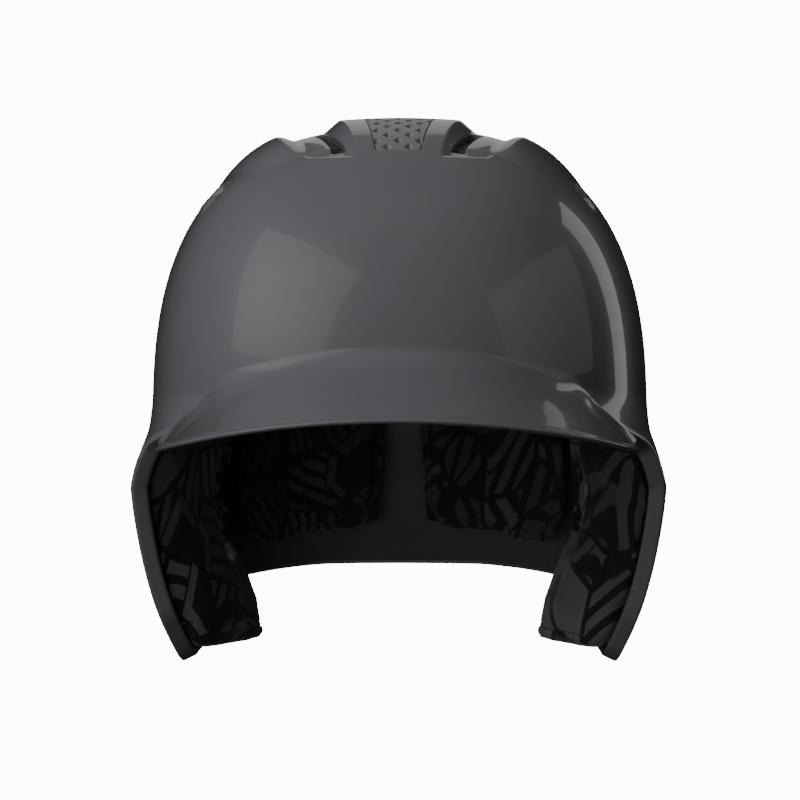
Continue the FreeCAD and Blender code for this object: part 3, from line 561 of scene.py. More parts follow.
class Skin:
    """A grid of the helmet's form at one depth, which outlines trim and lips finish."""

    def __init__(self, grid, depth):
        columns, fine, coarse, fine_length = grid
        heights = heights_by_spacing(fine, coarse, fine_length)
        theta = (np.arange(columns) + 0.5) / columns * 2 * math.pi - math.pi / 2
        self.theta, self.v = [a.ravel() for a in np.meshgrid(theta, heights, indexing="ij")]
        rows = len(heights)
        self.depth = depth
        self.mirror = np.where(np.cos(self.theta) < 0, -1, 1)
        i, j = np.meshgrid(np.arange(columns), np.arange(rows - 1), indexing="ij")
        i, j = i.ravel(), j.ravel()
        k = (i + 1) % columns
        self.faces = np.stack([i * rows + j, k * rows + j, k * rows + j + 1, i * rows + j + 1], -1)
        self.cuts = []

    def flat(self, space):
        """Every point in an outline's own coordinates, the same on both sides of the helmet."""
        if space == "side":
            y, x = np.sin(self.theta), np.abs(np.cos(self.theta))
            return np.stack([UNROLL * np.arctan2(y, x), form_height(self.v)], -1)
        p = form_point(self.theta, self.v)
        return np.stack([np.abs(p[:, 0]), p[:, 1]], -1)

    @staticmethod
    def unflat(flat, mirror, space):
        """theta and v of points in an outline's coordinates."""
        if space == "side":
            theta = flat[:, 0] / UNROLL
            return np.where(mirror > 0, theta, math.pi - theta), form_v(flat[:, 1])
        x = flat[:, 0] * mirror
        return np.arctan2(flat[:, 1], x), form_v(crown_height(x, flat[:, 1]))

    def surface(self, theta, v):
        """Points of this skin and its normals."""
        points = form_point(theta, v)
        normal = form_normal(theta, v)
        if self.depth:
            return points - normal * self.depth, normal
        points = points + normal * vent_brow(points)[:, None]
        high = points[:, 2] > RELIEF_FROM
        x, y = points[high, 0], points[high, 1]
        points[high, 2] += raised_height(x, y) - crown_height(x, y)
        return points, normal

    def trim(self, outline, space, level, keep_inside, reach, section):
        """Cuts the grid along an outline, level millimetres to the kept side of it.

        Points within reach move onto the cut. section gives the lip that closes the cut, as
        (outward, along) offsets from each cut point.
        """
        flat = self.flat(space)
        height = form_height(self.v)
        near = boxed(flat, outline, TRIM_MARGIN) | keep_inside
        near &= height > PLAN_FROM if space == "plan" else height < SIDE_TO
        distance = np.full(len(flat), FAR)
        inside, foot, grow = signed_distance(flat[near], outline)
        sign = 1.0 if keep_inside else -1.0
        distance[near] = inside * sign - level
        snap = np.abs(distance[near]) < reach
        index = np.flatnonzero(near)[snap]
        towards = grow[snap] * sign
        moved = foot[snap] + towards * level
        self.theta[index], self.v[index] = self.unflat(moved, self.mirror[index], space)
        distance[index] = 0.0
        self.drop(distance < 0)
        on_cut = np.zeros(len(flat), bool)
        on_cut[index] = True
        self.faces = self.faces[~on_cut[self.faces].all(1)]
        away = np.zeros_like(flat)
        away[index] = -towards
        self.cuts.append((set(index.tolist()), away, space, section))

    def drop(self, out):
        """Takes out points; a face that loses one corner stays as a triangle."""
        count = out[self.faces].sum(1)
        corner = self.faces[count == 1]
        which, rows = out[corner].argmax(1), np.arange(len(corner))
        keep = [corner[rows, (which + s) % 4] for s in (1, 2, 3, 3)]
        self.faces = np.concatenate([self.faces[count == 0], np.stack(keep, -1)])

    def open_near(self, outline, space, margin):
        """Takes out the faces within margin of an outline's inside."""
        flat = self.flat(space)
        near = form_height(self.v) > PLAN_FROM
        hit = np.zeros(len(flat), bool)
        hit[near] = signed_distance(flat[near], outline)[0] > -margin
        self.faces = self.faces[~hit[self.faces].any(1)]

    def crease(self, line, space, reach, closed=True, level=0.0):
        """Moves points near a line onto it, so that a crisp edge follows it."""
        flat = self.flat(space)
        near = boxed(flat, line, CREASE_MARGIN) & (form_height(self.v) > PLAN_FROM)
        inside, foot, grow = signed_distance(flat[near], line, closed)
        distance = inside - level if closed else np.abs(inside)
        snap = (np.abs(distance) < reach) & (np.abs(distance) > ON_LINE)
        index = np.flatnonzero(near)[snap]
        moved = foot[snap] + grow[snap] * level
        self.theta[index], self.v[index] = self.unflat(moved, self.mirror[index], space)

    def build(self, name):
        """The finished mesh, lips included."""
        points = [self.surface(self.theta, self.v)[0]]
        faces = [tuple(f) if f[2] != f[3] else tuple(f[:3]) for f in self.faces]
        edges = boundary_edges(faces)
        total = len(points[0])
        for members, away, space, section in self.cuts:
            lip = [(a, b) for a, b in edges if a in members and b in members]
            used = sorted(set(chain.from_iterable(lip)))
            if not used:
                continue
            place = {v: n for n, v in enumerate(used)}
            used = np.array(used)
            base = self.flat(space)[used]
            offsets = section(self.surface(self.theta[used], self.v[used])[0])
            previous = list(used)
            for out, along in offsets:
                theta, v = self.unflat(base + away[used] * along[:, None], self.mirror[used], space)
                here, normal = self.surface(theta, v)
                points.append(here + normal * out[:, None])
                ring = [total + n for n in range(len(used))]
                total += len(used)
                for a, b in lip:
                    m, n = place[a], place[b]
                    faces.append((previous[n], previous[m], ring[m], ring[n]))
                previous = ring
        return make_object(name, np.concatenate(points), faces)


def boxed(points, line, margin):
    """Whether each point is in the line's box, grown by margin."""
    low, high = line.min(0) - margin, line.max(0) + margin
    return np.all((points > low) & (points < high), axis=1)


def boundary_edges(faces):
    """Directed edges that only one face has."""
    edges = {}
    for f in faces:
        for a, b in zip(f, f[1:] + f[:1]):
            if (b, a) in edges:
                del edges[(b, a)]
            else:
                edges[(a, b)] = True
    return list(edges)


def constant(offsets):
    """Lip section that is the same all along a cut."""
    def section(points):
        ones = np.ones(len(points))
        return [(ones * out, ones * along) for out, along in offsets]
    return section


def rim_section(points):
    """The rim's lip: thick on the ear flaps, plain at the brow and the nape."""
    y = points[:, 1]
    full = ease(y, *FLAP_LIP_STARTS) * (1 - ease(y, *FLAP_LIP_FADES))
    return [(full * thick + (1 - full) * plain, np.full(len(y), float(along)))
            for thick, plain, along in RIM_SECTION]


# Shell --------------------

def heights_by_spacing(fine, coarse, fine_length):
    """Rows from below the rim to the crown, evenly spaced along the side's curve."""
    below, above = PATH_STEPS
    v = np.concatenate([np.linspace(LOWEST_V, 0, below), np.linspace(0, HIGHEST_V, above)[1:]])
    path = form_point(np.full(len(v), FRAME_STEP), v)
    length = np.concatenate([[0], np.cumsum(np.linalg.norm(np.diff(path, axis=0), axis=1))])
    split = length[-1] - fine_length
    low = np.linspace(0, split, int(split / coarse) + 1)
    high = np.linspace(split, length[-1], int(fine_length / fine) + 1)[1:]
    return np.interp(np.concatenate([low, high]), length, v)


def insert_outline(gap):
    """Plan outline of the crown insert, gap millimetres larger all round."""
    right = [(half + gap, y) for y, half in INSERT_HALF]
    right[0] = (right[0][0], right[0][1] - gap)
    right[-1] = (right[-1][0], right[-1][1] + gap)
    corners = right + [(-x, y) for x, y in reversed(right)]
    return rounded([(x, y, INSERT_CORNER) for x, y in corners], step=FINE_STEP)


def shell_outside():
    """Outer skin of the shell, with every opening cut and every crease drawn."""
    skin = Skin(OUTSIDE_GRID, 0.0)
    hole, slot, seat = constant(HOLE_SECTION), constant(VENT_SECTION), constant(INSERT_SECTION)
    side_vent = side_param(rounded(SIDE_VENT, step=FINE_STEP))
    skin.trim(side_param(rounded(ABOVE_RIM)), "side", LIP_WIDTH, True, RIM_SNAP, rim_section)
    skin.trim(side_param(rounded(EAR)), "side", EDGE_ROUND, False, RIM_SNAP, hole)
    skin.trim(side_vent, "side", VENT_ROUND, False, SLOT_SNAP, slot)
    skin.trim(insert_outline(INSERT_GAP), "plan", INSERT_SEAT, False, VENT_SNAP, seat)
    valley = rounded(VALLEY, step=FINE_STEP)
    skin.crease(valley, "plan", VALLEY_SNAP)
    skin.crease(valley, "plan", VALLEY_SNAP, level=LEDGE_WIDTH)
    for share in (0.0, 1.0):
        skin.crease(spine_line(share), "plan", SPINE_SNAP, closed=False)
    for vent in (FRONT_VENT, REAR_VENT):
        skin.trim(rounded(vent, step=FINE_STEP), "plan", VENT_ROUND, False, VENT_SNAP, slot)
    return skin.build("shell_outside")


def shell_inside():
    """Inner skin of the shell, open at the rim, the ear holes and the vents."""
    skin = Skin(INSIDE_GRID, SHELL_WALL)
    bare = constant([])
    skin.trim(side_param(rounded(ABOVE_RIM)), "side", LIP_WIDTH, True, INSIDE_SNAP, bare)
    skin.trim(side_param(rounded(EAR)), "side", EDGE_ROUND, False, INSIDE_SNAP, bare)
    for vent in (FRONT_VENT, REAR_VENT):
        skin.open_near(rounded(vent), "plan", VENT_CLEAR)
    skin.open_near(side_param(rounded(SIDE_VENT)), "side", VENT_CLEAR)
    skin.faces = skin.faces[:, ::-1]
    return skin.build("shell_inside")


def evened(values, reach):
    """Running average over reach neighbours on each side, the ends held."""
    padded = np.concatenate([np.full(reach, values[0]), values, np.full(reach, values[-1])])
    weights = np.hanning(2 * reach + 3)[1:-1]
    return np.convolve(padded, weights / weights.sum(), "valid")


def bill_angles():
    """Angles of the bill's columns, closer together at the corners."""
    near, far = BILL_ENDS[0], BILL_END_ANGLE
    first = np.linspace(near, far, BILL_END_COLUMNS)
    middle = np.linspace(far, 180 - far, BILL_COLUMNS)[1:-1]
    return np.radians(np.concatenate([first, middle, 180 - first[::-1]]))


def around(theta, radius, z):
    """Points at a radius and a height for each theta."""
    return np.stack([radius * np.cos(theta), radius * np.sin(theta), z], -1)


def root_radius(theta, z, depth=0.0):
    """Distance from the axis, in plan, of points depth under the dome's skin."""
    v = form_v(z)
    p = form_point(theta, v) - form_normal(theta, v) * depth
    return np.hypot(p[:, 0], p[:, 1])


def bill_points():
    """Rows of bill sections, from the forehead over the edge to the wall below."""
    t = bill_angles()
    c, s = np.cos(t), np.sin(t)
    x = np.sign(c) * BILL_HALF_WIDTH * np.abs(c) ** (2 / BILL_ROUND)
    y = BILL_CENTRE_Y - BILL_REACH * s ** (2 / BILL_ROUND)
    tip_z = BILL_TIP_Z - (BILL_TIP_Z - BILL_CORNER_Z) * (x / BILL_HALF_WIDTH) ** 2
    theta = np.arctan2(y, x)
    degrees = np.degrees(t)
    full = ease(degrees, *BILL_ENDS) * ease(180 - degrees, *BILL_ENDS)
    wall = root_radius(theta, tip_z + BILL_ROOT_RISE)
    overhang = (np.hypot(x, y) - wall) * full + BILL_CORNER_LEAST * (1 - full)
    overhang = np.maximum(BILL_LEAST, overhang)
    share = evened(np.minimum(1.0, overhang / BILL_FULL), BILL_EVENING)
    bend_z = tip_z + BILL_CORNER_RISE + (BILL_RISE - BILL_CORNER_RISE) * share
    start_z = bend_z + BILL_CORNER_BLEND + (BILL_BLEND - BILL_CORNER_BLEND) * share ** 2
    edge_z, under_z = tip_z + EDGE_TOP * BILL_THICKNESS, tip_z - EDGE_UNDER * BILL_THICKNESS
    back = np.minimum(EDGE_BACK * BILL_THICKNESS, EDGE_MOST * overhang)
    inner = wall + overhang - back
    rows = bill_top(theta, start_z, bend_z, around(theta, inner, edge_z))
    rows += bill_edge(theta, inner, back, edge_z, under_z)
    under_bend_z = under_z + share * (bend_z - BILL_THICKNESS - under_z)
    under_bend = around(theta, root_radius(theta, under_bend_z) - UNDER_OVERLAP, under_bend_z)
    low = around(theta, inner, under_z)
    rows += [low * (1 - k) + under_bend * k for k in np.linspace(0, 1, BILL_UNDER_ROWS)]
    return np.array(rows)


def bill_top(theta, start_z, bend_z, end):
    """Rows that leave the dome along its slope and bend out to the edge."""
    radius = root_radius(theta, start_z, BILL_OVERLAP)
    lean = root_radius(theta, start_z + NUDGE) - root_radius(theta, start_z - NUDGE)
    start = around(theta, radius, start_z)
    bend = around(theta, radius + lean * (bend_z - start_z), bend_z)
    shares = np.linspace(0, 1, BILL_TOP_ROWS) ** BILL_TOP_CROWDING
    return [start * (1 - k) ** 2 + bend * 2 * k * (1 - k) + end * k ** 2 for k in shares]


def bill_edge(theta, inner, back, top_z, low_z):
    """Rows round the bill's edge, from its top to its underside."""
    rows = []
    for k in range(1, BILL_EDGE_ROWS):
        a = math.pi * k / BILL_EDGE_ROWS
        z = (top_z + low_z) / 2 + (top_z - low_z) / 2 * math.cos(a)
        rows.append(around(theta, inner + back * math.sin(a) ** BILL_EDGE_POWER, z))
    return rows


def bill():
    """The bill as one mesh."""
    rows = bill_points()
    count, columns = rows.shape[:2]
    faces = []
    for i in range(count - 1):
        for j in range(columns - 1):
            a = i * columns + j
            faces.append((a, a + 1, a + columns + 1, a + columns))
    return make_object("shell_bill", rows.reshape(-1, 3), faces)


def join(target, *others):
    """Adds other meshes' faces to target's, and removes them."""
    mesh = bmesh.new()
    for obj in (target,) + others:
        mesh.from_mesh(obj.data)
    mesh.to_mesh(target.data)
    mesh.free()
    for obj in others:
        bpy.data.objects.remove(obj)
    shade_smooth(target.data)
    return target


def shell():
    """The shell's outer skin with the bill, and its inner skin."""
    outside = join(shell_outside(), bill())
    inside = shell_inside()
    for obj in (outside, inside):
        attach(obj, "helmet")
    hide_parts("outer_shell")
    return outside, inside


# Materials --------------------

class Nodes:
    """A material's node tree, with short calls to add nodes and links."""

    def __init__(self, name):
        self.material = bpy.data.materials.new(name)
        self.material.use_nodes = True
        self.tree = self.material.node_tree
        self.shader = self.tree.nodes["Principled BSDF"]

    def add(self, kind, settings=None, **inputs):
        """A node with its settings and inputs; an underscore in an input's name is a space."""
        node = self.tree.nodes.new(kind)
        for key, value in (settings or {}).items():
            setattr(node, key, value)
        for key, value in inputs.items():
            self.link(node, key.replace("_", " "), value)
        return node

    def link(self, node, key, value):
        """Links or sets one input, which key names or numbers."""
        socket = node.inputs[key]
        if isinstance(value, bpy.types.NodeSocket):
            self.tree.links.new(value, socket)
        else:
            socket.default_value = value

    def set(self, **inputs):
        for key, value in inputs.items():
            self.link(self.shader, key.replace("_", " "), value)

    def place(self):
        """Object coordinates in metres."""
        return self.add("ShaderNodeTexCoord").outputs["Object"]

    def scaled(self, vector, scale, turn=(0, 0, 0)):
        return self.add("ShaderNodeMapping", Vector=vector, Scale=scale, Rotation=turn).outputs[0]

    def noise(self, vector, scale, detail=2.0, roughness=0.5):
        node = self.add("ShaderNodeTexNoise", Vector=vector, Scale=scale, Detail=detail,
                        Roughness=roughness)
        return node.outputs["Fac"]

    def math(self, operation, first, second=0.0, third=0.0):
        node = self.add("ShaderNodeMath", {"operation": operation})
        for index, value in enumerate((first, second, third)):
            self.link(node, index, value)
        return node.outputs[0]

    def remap(self, value, low, high, to_low, to_high):
        node = self.add("ShaderNodeMapRange", Value=value, From_Min=low, From_Max=high,
                        To_Min=to_low, To_Max=to_high)
        return node.outputs[0]

    def product(self, first, second):
        return self.math("MULTIPLY", first, second)

    def step(self, value, edge, soft):
        """0 below edge and 1 above it, over a short slope; a negative soft turns it round."""
        return self.remap(value, edge - abs(soft), edge + abs(soft), float(soft < 0), float(soft > 0))

    def colours(self, value, *stops):
        """Colour ramp; each stop is (position, (r, g, b))."""
        node = self.add("ShaderNodeValToRGB", Fac=value)
        ramp = node.color_ramp
        while len(ramp.elements) < len(stops):
            ramp.elements.new(0.5)
        for element, (position, colour) in zip(ramp.elements, stops):
            element.position = position
            element.color = (*colour, 1)
        return node.outputs["Color"]

    def bump(self, height, strength, distance, normal=None):
        node = self.add("ShaderNodeBump", Height=height, Strength=strength, Distance=distance)
        if normal is not None:
            self.link(node, "Normal", normal)
        return node.outputs["Normal"]


def shell_material():
    """Injection-moulded gloss plastic: faint orange peel, fine dust specks and soft scuffs."""
    n = Nodes("gloss_plastic")
    place = n.place()
    drift = n.noise(place, 14.0, 3.0)
    base = n.colours(drift, (0.3, SHELL_DARK), (0.7, SHELL_LIGHT))
    specks = n.add("ShaderNodeTexVoronoi", Vector=place, Scale=420.0).outputs["Distance"]
    speck = n.remap(specks, 0.02, 0.05, 1.0, 0.0)
    scuffs = n.noise(n.scaled(place, (40, 40, 260), (0.4, 0.2, 0.9)), 1.0, 4.0, 0.6)
    rough = n.remap(scuffs, 0.45, 0.8, 0.30, 0.38)
    rough = n.math("ADD", rough, n.product(speck, 0.1))
    peel = n.noise(place, 620.0, 1.0)
    wave = n.noise(place, 55.0, 1.0)
    normal = n.bump(peel, 0.05, 0.0002)
    normal = n.bump(wave, 0.04, 0.002, normal)
    n.set(Base_Color=base, Roughness=rough, Normal=normal, IOR=1.5, Coat_Weight=0.9,
          Coat_Roughness=0.025, Coat_IOR=1.5)
    return n.material


def satin_material():
    """Satin plastic with a fine moulded grain, for the vent insert and the boards."""
    n = Nodes("matte_plastic")
    place = n.place()
    base = n.colours(n.noise(place, 30.0, 3.0), (0.3, SATIN_DARK), (0.7, SATIN_LIGHT))
    grain = n.noise(place, 1500.0, 2.0)
    n.set(Base_Color=base, Roughness=n.remap(grain, 0.3, 0.7, 0.30, 0.46),
          Normal=n.bump(grain, 0.12, 0.0002))
    return n.material


def foam_material():
    """Expanded bead foam: tight rounded beads, darker toward where they meet, which is painted shade
    in the crevices between beads.
    """
    n = Nodes("bead_foam")
    place = n.place()
    warp = n.add("ShaderNodeTexNoise", Vector=place, Scale=90.0).outputs["Color"]
    moved = n.add("ShaderNodeMixRGB", Fac=0.004, Color1=place, Color2=warp).outputs[0]
    beads = n.add("ShaderNodeTexVoronoi", {"feature": "DISTANCE_TO_EDGE"}, Vector=moved, Scale=330.0)
    height = n.remap(beads.outputs["Distance"], 0.0, 0.22, 0.0, 1.0)
    tint = n.add("ShaderNodeTexVoronoi", Vector=moved, Scale=330.0).outputs["Color"]
    shade = n.product(height, n.remap(tint, 0.0, 1.0, 0.6, 1.0))
    # Colour follows the beads' height: darker toward their edges, painted shade in the crevices
    # between beads
    base = n.colours(shade, (0.0, FOAM_DARK), (1.0, FOAM_LIGHT))
    n.set(Base_Color=base, Roughness=n.remap(height, 0.0, 1.0, 0.85, 0.6),
          Normal=n.bump(height, 0.5, 0.0006))
    return n.material


def shard_axes(n, place, seed):
    """Coordinates along and across each shard, which leans its own way."""
    local = n.add("ShaderNodeVectorMath", {"operation": "SUBTRACT"})
    n.link(local, 0, place)
    n.link(local, 1, seed.outputs["Position"])
    xyz = n.add("ShaderNodeSeparateXYZ", Vector=local.outputs[0])
    lean = n.add("ShaderNodeSeparateColor", Color=seed.outputs["Color"]).outputs[1]
    level, up = n.math("ADD", xyz.outputs[0], xyz.outputs[1]), xyz.outputs[2]
    angle = n.product(lean, 2 * math.pi)
    cosine, sine = n.math("COSINE", angle), n.math("SINE", angle)
    along = n.math("ADD", n.product(level, cosine), n.product(up, sine))
    across = n.math("SUBTRACT", n.product(up, cosine), n.product(level, sine))
    return along, across


def hatching(n, along, across):
    """Slanted lines across a shard."""
    place = n.product(n.math("ADD", across, n.product(along, HATCH_LEAN)), HATCH_COUNT)
    wave = n.math("ABSOLUTE", n.math("SUBTRACT", n.math("FRACT", place), 0.5))
    return n.remap(wave, *HATCH_EDGE, 0.0, 1.0)


def shard_pattern(n, place, turn):
    """Angular shards with dark gaps: a bent bar in each, and hatching that leans away from it."""
    turned = n.scaled(place, SHARD_SCALE, turn)
    cells = {"Vector": turned, "Scale": 1.0, "Randomness": 0.9}
    seed = n.add("ShaderNodeTexVoronoi", **cells)
    edge = n.add("ShaderNodeTexVoronoi", {"feature": "DISTANCE_TO_EDGE"}, **cells)
    gap = n.remap(edge.outputs["Distance"], *SHARD_GAP, 0.0, 1.0)
    draws = n.add("ShaderNodeSeparateColor", Color=seed.outputs["Color"]).outputs
    along, across = shard_axes(n, turned, seed)
    bent = n.math("ADD", along, n.product(n.math("ABSOLUTE", across), BAR_BEND))
    bar = n.product(n.step(bent, BAR_FROM, BAR_SOFT), n.step(bent, BAR_TO, -BAR_SOFT))
    hatch_area = n.step(bent, BAR_TO + HATCH_START, BAR_SOFT)
    hatch = n.product(hatching(n, along, across), hatch_area)
    solid = n.math("GREATER_THAN", draws[2], SOLID_FROM)
    fill = n.math("MAXIMUM", n.math("MAXIMUM", bar, hatch), solid)
    tone = n.remap(draws[0], 0.1, 0.9, 0.45, 1.0)
    return n.product(n.product(gap, fill), tone)


def weave_height(n, place):
    """Fine knit of crossed threads."""
    waves = []
    for turn in ((0.0, 0.6, 0.78), (0.0, -0.6, -0.78)):
        turned = n.scaled(place, (1, 1, 1), turn)
        wave = n.add("ShaderNodeTexWave", {"wave_profile": "SIN"}, Vector=turned, Scale=450.0,
                     Distortion=0.8, Detail=1.0)
        waves.append(wave.outputs["Fac"])
    return n.product(waves[0], waves[1])


def fabric_material(name, turn, black, shard):
    """Black wicking fabric printed with dark grey shards."""
    n = Nodes(name)
    place = n.place()
    weave = weave_height(n, place)
    worn = n.remap(n.noise(place, 60.0, 4.0), 0.3, 0.7, 0.8, 1.1)
    print_amount = n.product(shard_pattern(n, place, turn), worn)
    base = n.colours(print_amount, (0.0, black), (1.0, shard))
    shade = n.add("ShaderNodeMixRGB", {"blend_type": "MULTIPLY"}, Fac=0.25, Color1=base,
                  Color2=n.colours(weave, (0.0, (0.45, 0.45, 0.45)), (0.6, WHITE))).outputs[0]
    fuzz = n.noise(place, 900.0, 2.0)
    normal = n.bump(n.math("ADD", weave, n.product(fuzz, 0.4)), 0.3, 0.0003)
    n.set(Base_Color=shade, Roughness=n.remap(fuzz, 0.3, 0.7, 0.7, 0.9), Normal=normal,
          Sheen_Weight=0.15, Sheen_Roughness=0.4)
    return n.material


def thread_material():
    """Twisted polyester thread."""
    n = Nodes("thread")
    twist = n.add("ShaderNodeTexWave", Vector=n.place(), Scale=900.0, Distortion=1.0).outputs["Fac"]
    n.set(Base_Color=n.colours(twist, (0.0, THREAD_DARK), (1.0, THREAD_LIGHT)),
          Roughness=n.remap(twist, 0.0, 1.0, 0.75, 0.55), Normal=n.bump(twist, 0.4, 0.0001))
    return n.material


def hook_material():
    """Hook tape: rows of tiny plastic hooks."""
    n = Nodes("hook_tape")
    place = n.place()
    hooks = n.add("ShaderNodeTexVoronoi", Vector=place, Scale=1100.0, Randomness=0.25)
    height = n.remap(hooks.outputs["Distance"], 0.1, 0.5, 1.0, 0.0)
    base = n.colours(height, (0.0, HOOK_DARK), (1.0, HOOK_LIGHT))
    n.set(Base_Color=base, Roughness=n.remap(height, 0.0, 1.0, 0.9, 0.45),
          Normal=n.bump(height, 0.9, 0.0006))
    return n.material


def dress(obj, material):
    """Gives an object one material."""
    obj.data.materials.clear()
    obj.data.materials.append(material)


# Insert --------------------

def dimple_centres():
    """Staggered places over the insert, the outer ones cut by its edge."""
    front, back = INSERT_HALF[0][0], INSERT_HALF[-1][0]
    places = []
    for row in range(int((back - front) / DIMPLE_ALONG)):
        y = front + DIMPLE_START + row * DIMPLE_ALONG
        half = smooth_curve(np.array([y]), INSERT_HALF)[0]
        for k in range(-DIMPLE_COLUMNS, DIMPLE_COLUMNS + 1):
            x = (k + 0.5 * (1 - row % 2)) * DIMPLE_ACROSS
            if abs(x) < half - DIMPLE_MARGIN:
                places.append((x, y))
    return places


def insert_height(x, y):
    """Top of the insert: level with the spine, with staggered diamond dimples."""
    top = spine_height(np.abs(x), y) - INSERT_SINK
    dimple = np.zeros_like(x)
    for across, along in dimple_centres():
        far = np.abs(x - across) + DIMPLE_SLANT * np.abs(y - along)
        dimple = np.maximum(dimple, np.clip((DIMPLE_HALF - far) / DIMPLE_WALL, 0, 1))
    return top - DIMPLE_DEPTH * dimple


def insert_grid():
    """Plan grid of the insert's top with its edge rows moved onto the outline, and its faces."""
    outline = insert_outline(0.0)
    low, high = outline.min(0) - INSERT_GRID, outline.max(0) + INSERT_GRID
    xs, ys = (np.linspace(a, b, int((b - a) / INSERT_GRID) + 1) for a, b in zip(low, high))
    grid = np.stack([a.ravel() for a in np.meshgrid(xs, ys, indexing="ij")], -1)
    inside, foot, grow = signed_distance(grid, outline)
    distance = inside - INSERT_EDGE
    snap = np.abs(distance) < INSERT_SNAP * INSERT_GRID
    grid[snap] = foot[snap] + grow[snap] * INSERT_EDGE
    keep = (distance >= 0) | snap
    rows = len(ys)
    faces = []
    for i in range(len(xs) - 1):
        for j in range(rows - 1):
            a = i * rows + j
            quad = [q for q in (a, a + rows, a + rows + 1, a + 1) if keep[q]]
            if len(quad) >= 3:
                faces.append(tuple(quad))
    return grid, grow, faces


def vent_insert():
    """The dimpled insert, with a rounded edge that goes down into its seat."""
    grid, grow, faces = insert_grid()
    points = np.column_stack([grid, insert_height(grid[:, 0], grid[:, 1])])
    edges = boundary_edges(faces)
    used = sorted(set(chain.from_iterable(edges)))
    place = {v: n for n, v in enumerate(used)}
    previous = list(used)
    rim = points[used]
    for out, down in INSERT_LIP:
        ring = rim - np.column_stack([grow[used] * out, np.full(len(used), down)])
        numbers = [len(points) + n for n in range(len(used))]
        for a, b in edges:
            m, n = place[a], place[b]
            faces.append((previous[n], previous[m], numbers[m], numbers[n]))
        points = np.concatenate([points, ring])
        previous = numbers
    obj = make_object("vent_insert", points, faces)
    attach(obj, "helmet")
    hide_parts("crown_vent_insert")
    return obj


# Pads --------------------

def world_points(obj):
    """An object's vertices in millimetres from the dome's axis."""
    points = np.empty(len(obj.data.vertices) * 3)
    obj.data.vertices.foreach_get("co", points)
    return points.reshape(-1, 3) / MM - FORM_PLACE


def set_points(obj, points):
    """Moves an object's vertices, given in millimetres from the dome's axis."""
    obj.data.vertices.foreach_set("co", ((points + FORM_PLACE) * MM).ravel())
    obj.data.update()


def vertex_normals(obj):
    """An object's vertex normals."""
    normals = np.empty(len(obj.data.vertices) * 3)
    obj.data.vertices.foreach_get("normal", normals)
    return normals.reshape(-1, 3)


def apply_modifiers(obj):
    """Bakes an object's modifiers into its mesh."""
    graph = bpy.context.evaluated_depsgraph_get()
    mesh = bpy.data.meshes.new_from_object(obj.evaluated_get(graph))
    obj.modifiers.clear()
    old = obj.data
    obj.data = mesh
    bpy.data.meshes.remove(old)


def foam_copy(name, node):
    """A copy of a foam core, remeshed into even quads and grown by its cover."""
    obj = link_object(name, frame["nodes"][node].data.copy())
    remesh = obj.modifiers.new("remesh", "REMESH")
    remesh.mode = "VOXEL"
    remesh.voxel_size = VOXEL * MM
    apply_modifiers(obj)
    smooth = obj.modifiers.new("smooth", "SMOOTH")
    smooth.iterations = 3
    smooth.factor = 0.5
    apply_modifiers(obj)
    set_points(obj, world_points(obj) + vertex_normals(obj) * COVER)
    return obj


def swell(obj):
    """Cloth pressure rounds the pad; its back stays where it rests on its liner."""
    start = world_points(obj)
    back = ease(radial_share(start, vertex_normals(obj)), *BACK_TURN)
    cloth = obj.modifiers.new("swell", "CLOTH")
    cloth.settings.use_pressure = True
    cloth.settings.uniform_pressure_force = SWELL_PRESSURE
    cloth.settings.effector_weights.gravity = 0.0
    cloth.settings.quality = 5
    cloth.point_cache.frame_start, cloth.point_cache.frame_end = 1, SWELL_FRAMES
    scene = bpy.context.scene
    for number in range(1, SWELL_FRAMES + 1):
        scene.frame_set(number)
    apply_modifiers(obj)
    scene.frame_set(1)
    move = world_points(obj) - start
    size = np.linalg.norm(move, axis=1)
    limit = SWELL_LIMIT + (BACK_LIMIT - SWELL_LIMIT) * back
    share = np.minimum(1.0, limit / np.maximum(size, TINY))
    set_points(obj, start + move * share[:, None])


def radial_share(points, normals):
    """How far each normal looks out, away from the head."""
    outward = normalized(points - np.array([0, 0, WIDEST_Z]))
    return (outward * normals).sum(1)


def subdivide(obj, levels):
    """Splits and rounds an object's faces."""
    smooth = obj.modifiers.new("subdivide", "SUBSURF")
    smooth.levels = levels
    apply_modifiers(obj)


def project(points, plane):
    """The two coordinates of points that a plane has."""
    return points[:, list(PLANES[plane])]


def shrink(outline, inset):
    """An outline moved inward by inset."""
    points = outline + normalized(outline.mean(0) - outline) * NUDGE
    for _ in range(SHRINK_ROUNDS):
        distance, _, grow = signed_distance(points, outline)
        points = points + grow * (inset - distance)[:, None]
    return points


def sew(obj, outline, plane, inset):
    """Presses a seam channel into the pad's face along an outline."""
    points, normals = world_points(obj), vertex_normals(obj)
    flat = project(points, plane)
    away = np.abs(signed_distance(flat, outline)[0] - inset)
    face = ease(-radial_share(points, normals), *FACE_TURN)
    channel = np.exp(-(away / SEAM_WIDTH) ** 2) * face
    set_points(obj, points - normals * (SEAM_DEPTH * channel)[:, None])


def seam_places(outline, inset):
    """Places of the stitches along a seam, and a place just ahead of each."""
    line = shrink(outline, inset)
    steps = np.linalg.norm(np.roll(line, -1, axis=0) - line, axis=1)
    length = np.concatenate([[0], np.cumsum(steps)])
    closed = np.concatenate([line, line[:1]])
    at = np.arange(0, length[-1], STITCH_STEP)
    ahead = (at + NUDGE) % length[-1]
    return [np.stack([np.interp(p, length, closed[:, k]) for k in (0, 1)], -1)
            for p in (at, ahead)]


def cast(tree, place, plane, ray):
    """Where a ray through a flat place meets the pad, and the pad's normal there."""
    keep = list(PLANES[plane])
    axis = 3 - sum(keep)
    start, way = np.zeros(3), np.zeros(3)
    start[keep] = place
    way[axis], start[axis] = ray
    return tree.ray_cast(Vector(start), Vector(way))[:2]


